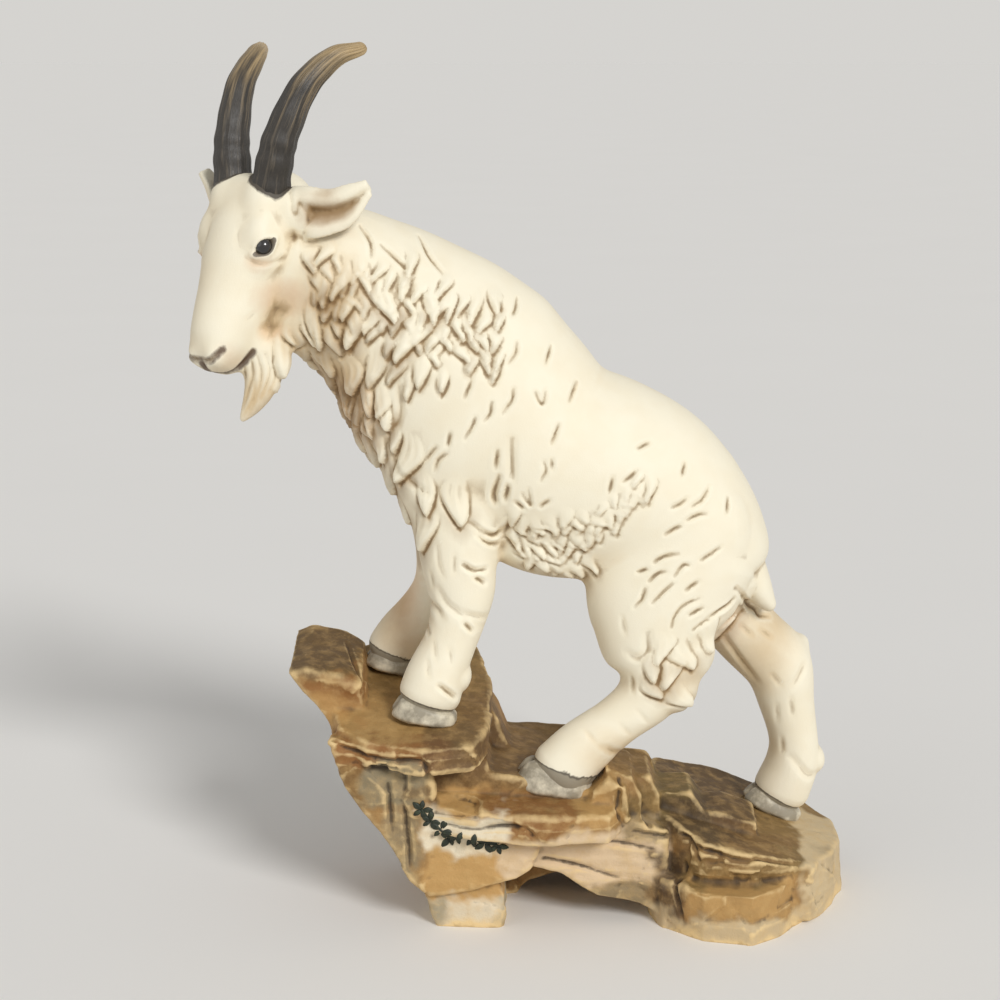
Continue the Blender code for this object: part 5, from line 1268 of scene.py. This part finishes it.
# over covers where mask passes high
def layPaint(tree, under, over, mask, low, high, strength, grain=None, ragged=0.0):
    edge = mask
    if grain is not None:
        edge = addNode(tree, "ShaderNodeMath", {"operation": "MULTIPLY_ADD"}, {1: ragged},
                       {0: grain, 2: mask}).outputs[0]
    share = addNode(tree, "ShaderNodeMapRange", {"clamp": True},
                    {"From Min": low, "From Max": high, "To Max": strength},
                    {"Value": edge}).outputs["Result"]
    mix = addNode(tree, "ShaderNodeMix", {"data_type": "RGBA"}, None, {0: share})
    for index, colour in ((6, under), (7, over)):
        if isinstance(colour, str):
            mix.inputs[index].default_value = linearColour(colour)
        else:
            tree.links.new(colour, mix.inputs[index])
    return mix.outputs[2]


def finishRelief(tree, shader, colour, height, depth):  # depth in millimetres
    bump = addNode(tree, "ShaderNodeBump", None, {"Strength": 1.0, "Distance": depth * mm},
                   {"Height": height})
    tree.links.new(bump.outputs["Normal"], shader.inputs["Normal"])
    tree.links.new(colour, shader.inputs["Base Color"])


def coatMaterial():  # matte painted bisque: a brown wash lies in the grooves, and the crests carry bright cream that is partly paint and partly painted highlight
    paint = coatPaint
    material, tree, shader = newMaterial("paintedBisque", 0.6)
    marks = ("recess", "broadRecess", "shade", "blushAndShade", "earInside", "pool", "lipPaint", "lidPaintAndFoldShade",
             "hornRoot", "hoofPaint")
    read = readSurface(tree, marks, {"cloud": (11.111, 2.0), "grain": (2.381, 4.0), "fine": (0.3846, 3.0)})
    grain = read["grain"]
    colour = layPaint(tree, paint["body"], paint["brightAndHighlight"], read["cloud"], 0.4, 0.65, 0.6)
    colour = layPaint(tree, colour, paint["shade"], read["shade"], 0.3, 1.3, 0.75, read["cloud"], 0.5)
    # the warm tint: partly pink paint, and painted shade on the inner limbs, chest and face
    colour = layPaint(tree, colour, paint["blushAndShade"], read["blushAndShade"], 0.35, 1.3, 0.45, grain, 0.5)
    colour = layPaint(tree, colour, paint["shade"], read["broadRecess"], 0.05, 0.8, 0.55)
    # bright cream on the crests and edges: partly paint, partly painted highlight
    colour = layPaint(tree, colour, paint["brightAndHighlight"], read["recess"], 0.0, -0.6, 0.5)
    colour = layPaint(tree, colour, paint["wash"], read["recess"], 0.24, 0.85, 0.85, grain, 0.25)
    colour = layPaint(tree, colour, paint["deep"], read["recess"], 0.7, 1.3, 0.65, grain, 0.25)
    # umber and deep brown under the lock tips: wash and painted shade, with more painted shade where the
    # shade mark is high
    shadeAndTipWash = addNode(tree, "ShaderNodeMath", {"operation": "MULTIPLY_ADD"}, {1: 0.45},
                     {0: read["shade"], 2: read["pool"]}).outputs[0]
    colour = layPaint(tree, colour, paint["umber"], shadeAndTipWash, 0.25, 1.25, 0.8, grain, 0.15)
    colour = layPaint(tree, colour, paint["deep"], shadeAndTipWash, 1.0, 1.7, 0.45, grain, 0.3)
    # tan inside the ears, and painted shade in the broad hollows all over the coat
    inside = addNode(tree, "ShaderNodeMath", {"operation": "MULTIPLY_ADD"}, {1: 0.6},
                     {0: read["broadRecess"], 2: read["earInside"]}).outputs[0]
    colour = layPaint(tree, colour, paint["ear"], inside, 0.35, 1.3, 0.8, grain, 0.3)
    colour = layPaint(tree, colour, paint["lips"], read["lipPaint"], 0.55, 0.9, 0.85, grain, 0.5)
    # dark lid paint round the eyes, and painted shade along the folds of the near ear
    colour = layPaint(tree, colour, paint["lids"], read["lidPaintAndFoldShade"], 0.55, 0.9, 0.8, grain, 0.5)
    colour = layPaint(tree, colour, paint["roots"], read["hornRoot"], 0.5, 0.8, 0.95, grain, 0.6)
    colour = layPaint(tree, colour, hoofPaint["deep"], read["hoofPaint"], 0.5, 0.75, 0.9, grain, 0.5)
    colour = layPaint(tree, colour, hoofPaint["base"], read["hoofPaint"], 0.85, 1.1, 1.0, grain, 0.4)
    finishRelief(tree, shader, colour, read["fine"], 0.05)
    return material


def hornMaterial():  # charcoal paint, dry-brushed tan over the tips, with streaks along the horn
    material, tree, shader = newMaterial("hornPaint", 0.45)
    read = readSurface(tree, ("along", "aroundX", "aroundY"), {"grain": (1.4286, 4.0)})
    around = addNode(tree, "ShaderNodeCombineXYZ", None, None, {
        "X": read["aroundX"], "Y": read["aroundY"], "Z": read["along"]}).outputs["Vector"]
    streaks = addNode(tree, "ShaderNodeTexNoise", None, {"Scale": 4.2, "Detail": 5.0, "Roughness": 0.65},
                      {"Vector": around}).outputs["Fac"]
    colour = layPaint(tree, hornPaint["base"], hornPaint["deep"], read["grain"], 0.3, 0.7, 0.5)
    colour = layPaint(tree, colour, hornPaint["streak"], streaks, 0.52, 0.66, 0.6)
    colour = layPaint(tree, colour, hornPaint["dust"], read["along"], 0.98, 1.32, 0.95, streaks, 0.75)
    finishRelief(tree, shader, colour, streaks, 0.35)
    return material


def hoofMaterial():  # grey horn colour with whitish wear and dark hollows
    material, tree, shader = newMaterial("hoofPaint", 0.5)
    read = readSurface(tree, ("recess",), {"grain": (5.882, 4.0), "fine": (1.1111, 3.0)})
    colour = layPaint(tree, hoofPaint["base"], hoofPaint["wear"], read["grain"], 0.45, 0.66, 0.8)
    colour = layPaint(tree, colour, hoofPaint["deep"], read["recess"], 0.5, 1.1, 0.8, read["fine"], 0.8)
    finishRelief(tree, shader, colour, read["grain"], 0.15)
    return material


def eyeMaterial():  # gloss black enamel, the only wet-looking spot
    material, tree, shader = newMaterial("eyeEnamel", 0.08, coat=1.0)
    read = readSurface(tree, (), {"grain": (1.1111, 4.0)})
    colour = layPaint(tree, eyePaint["ball"], eyePaint["corner"], read["grain"], 0.55, 0.9, 0.25)
    finishRelief(tree, shader, colour, read["grain"], 0.01)
    return material


def stoneMaterial():  # chalky stone paint: ground colours, dark cracks, painted shade in the broad hollows, and cream dry brush with painted highlight on the edges
    material, tree, shader = newMaterial("stonePaint", 0.7)
    base = addNode(tree, "ShaderNodeAttribute", {"attribute_name": "baseCoat"}).outputs["Color"]
    read = readSurface(tree, ("recess", "broadRecess"),
                       {"cloud": (16.667, 3.0), "grain": (3.846, 4.0), "fine": (0.6667, 4.0)})
    grain = read["grain"]
    colour = layPaint(tree, base, rockFinish["dry"], grain, 0.52, 0.78, 0.35, read["fine"], 0.15)
    colour = layPaint(tree, colour, rockFinish["deep"], read["cloud"], 0.46, 0.28, 0.3, grain, 0.1)
    # painted shade: dark laid in the broad hollows
    colour = layPaint(tree, colour, rockFinish["deep"], read["broadRecess"], 0.2, 1.1, 0.5)
    colour = layPaint(tree, colour, rockFinish["deep"], read["recess"], 0.4, 1.15, 0.85, read["fine"], 0.2)
    # cream dry brush and painted highlight on the convex edges
    colour = layPaint(tree, colour, rockFinish["edge"], read["broadRecess"], -0.5, -1.2, 0.6, grain, -0.4)
    colour = layPaint(tree, colour, rockFinish["edge"], read["recess"], -0.5, -1.1, 0.7, grain, -0.5)
    relief = addNode(tree, "ShaderNodeMath", {"operation": "MULTIPLY_ADD"}, {1: 0.4},
                     {0: read["fine"], 2: grain}).outputs[0]
    finishRelief(tree, shader, colour, relief, 0.35)
    return material


def leafMaterial():  # dark green with a lighter, rubbed crest
    material, tree, shader = newMaterial("leafPaint", 0.55)
    read = readSurface(tree, (), {"grain": (1.25, 4.0)})
    colour = layPaint(tree, leafPaint["base"], leafPaint["light"], read["grain"], 0.5, 0.75, 0.6)
    finishRelief(tree, shader, colour, read["grain"], 0.1)
    return material


def floorMaterial():  # a pale matte studio sheet
    material, tree, shader = newMaterial("studioSheet", 1.0)
    shader.inputs["Specular IOR Level"].default_value = 0.0
    read = readSurface(tree, (), {"cloud": (166.67, 2.0)})
    colour = layPaint(tree, studio["sheet"], studio["sheetShade"], read["cloud"], 0.3, 0.7, 0.3)
    tree.links.new(colour, shader.inputs["Base Color"])
    return material


# Making the pieces

studio = {
    "sheet": "#F1EFEB", "sheetShade": "#EEECE8", "sky": "#FFFFFF", "skyStrength": 0.38,
    "suns": {"key": ((0.5, -0.85, 0.62), 1.95, 18.0), "fill": ((-0.8, -0.5, 0.45), 0.35, 60.0)},
    "lens": 77.15, "distance": 620.0, "pitch": 12.0, "look": (-4.3, 0.0, 121.0),
}


def makeGoat():
    goat = meltTogether("goatCoat", makeGoatMasses(), goatForm["grain"], 4)
    place = headPlace()
    easeBroadForms(goat, place)
    skin = Carving(goat)
    carveCoat(skin)
    carveFace(skin, place)
    carveBeard(skin)
    seats = [eyeSeat(skin, place, side) for side in (1, -1)]
    eyes = [makeEye("eyeNear", *seats[0][:2], 0.62), makeEye("eyeFar", *seats[1][:2], 0.8)]
    skin.finish()
    writeMark(goat, "pool", skin.pool * np.clip((skin.points[:, 0] + 67) / 6, 0, 1))  # no wash or painted shade on the face
    setPoints(goat, smoothField(getPoints(goat), meshEdges(goat), 2))
    thin(goat, goatForm["triangles"])
    markGoat(goat, place, seats)
    return goat, place, eyes


def makeRock():
    rock = meltTogether("rock", makeRockBlocks(), rockForm["grain"], 3)
    skin = Carving(rock)
    weatherStone(skin)
    splitStone(skin)
    skin.finish()
    setPoints(rock, smoothField(getPoints(rock), meshEdges(rock), 1))
    grindFlat(rock)
    thin(rock, rockForm["triangles"])
    markRock(rock)
    return rock


def makeHooves():
    hooves = []
    for name, (toe, heel, y, toeHeight, heelHeight) in hoofPlaces().items():
        hoof = makeHoof(name, toe, heel, y, toeHeight, heelHeight)
        skin = Carving(hoof)
        for i, point in enumerate(skin.points):
            skin.lift[i] = 0.25 * noise.noise(Vector(point) / 3.0) + 0.12 * noise.noise(Vector(point) / 1.1)
        skin.finish()
        writeMark(hoof, "recess", np.clip(hollowness(hoof, 4) / 0.3, -1, 1))
        hooves.append(hoof)
    return hooves


def giveMaterial(obj, material):
    obj.data.materials.clear()
    obj.data.materials.append(material)
    makeActive(obj)
    bpy.ops.object.shade_smooth()


def moveToCadPlace(pieces):
    corners = [np.array(v.co) for piece in pieces for v in piece.data.vertices]
    low, high = np.min(corners, axis=0), np.max(corners, axis=0)
    cadLow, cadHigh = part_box(cadNode)
    shift = Vector([(cadLow[i] + cadHigh[i] - low[i] - high[i]) / 2 for i in (0, 1)] + [0.0])
    for piece in pieces:
        piece.data.transform(Matrix.Translation(shift))
    return shift


def makeCamera(shift):  # looks along Y, tipped down, at the middle of the figure
    pitch = math.radians(studio["pitch"])
    back = Vector((0, -math.cos(pitch), math.sin(pitch)))
    camera = bpy.data.objects.new("camera", bpy.data.cameras.new("camera"))
    bpy.context.scene.collection.objects.link(camera)
    camera.location = Vector(studio["look"]) * mm + shift + back * studio["distance"] * mm
    camera.rotation_euler = (math.pi / 2 - pitch, 0, 0)
    camera.data.lens = studio["lens"]
    camera.data.sensor_width = 36
    bpy.context.scene.camera = camera


# two soft suns and a pale sky; what the camera sees of the sky is as bright as the lit sheet
def makeLights():
    level = studio["skyStrength"]
    for name, (spot, power, softness) in studio["suns"].items():
        lamp = bpy.data.lights.new(name, "SUN")
        lamp.energy = power
        lamp.angle = math.radians(softness)
        sun = bpy.data.objects.new(name, lamp)
        bpy.context.scene.collection.objects.link(sun)
        away = Vector(spot).normalized()
        sun.rotation_euler = (-away).to_track_quat("-Z", "Y").to_euler()
        level += power * away.z / math.pi
    world = bpy.data.worlds.new("studio")
    world.use_nodes = True
    bpy.context.scene.world = world
    tree = world.node_tree
    tree.nodes.clear()
    sky = addNode(tree, "ShaderNodeBackground", None, {"Color": linearColour(studio["sky"]),
                                                       "Strength": studio["skyStrength"]})
    sheet = addNode(tree, "ShaderNodeBackground", None,
                    {"Color": linearColour(studio["sheet"]), "Strength": level})
    path = addNode(tree, "ShaderNodeLightPath").outputs
    seen = path["Is Camera Ray"]
    for ray in ("Is Glossy Ray", "Is Transmission Ray"):
        seen = addNode(tree, "ShaderNodeMath", {"operation": "MAXIMUM"}, None,
                       {0: seen, 1: path[ray]}).outputs[0]
    both = addNode(tree, "ShaderNodeMixShader", None, None,
                   {0: seen, 1: sky.outputs[0], 2: sheet.outputs[0]})
    addNode(tree, "ShaderNodeOutputWorld", None, None, {"Surface": both.outputs[0]})
    bpy.context.scene.view_settings.view_transform = "Standard"


def makeFloor():
    deselectAll()
    bpy.ops.mesh.primitive_plane_add(size=60)
    floor = bpy.context.active_object
    floor.name = "studioFloor"
    giveMaterial(floor, floorMaterial())


print("Goat: melting the masses and carving the coat")
goat, headFrame, eyes = makeGoat()
print("Rock: blocks, chips, strata and cracks")
rock = makeRock()
print("Horns, hooves and leaves")
horns = [makeHorn("hornNear", -1, headFrame), makeHorn("hornFar", 1, headFrame)]
hooves = makeHooves()
leaves, stems = makeLeafSprigs(rock)
pieces = [goat, rock, *horns, *hooves, *eyes, leaves, stems]
shift = moveToCadPlace(pieces)

print("Paint")
paints = [(coatMaterial(), [goat]), (stoneMaterial(), [rock]), (hornMaterial(), horns),
          (hoofMaterial(), hooves), (eyeMaterial(), eyes), (leafMaterial(), [leaves, stems])]
for material, painted in paints:
    for piece in painted:
        giveMaterial(piece, material)
for piece in pieces:
    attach(piece, bodyName)
    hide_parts(cadNode)

print("Studio")
makeCamera(shift)
makeLights()
makeFloor()
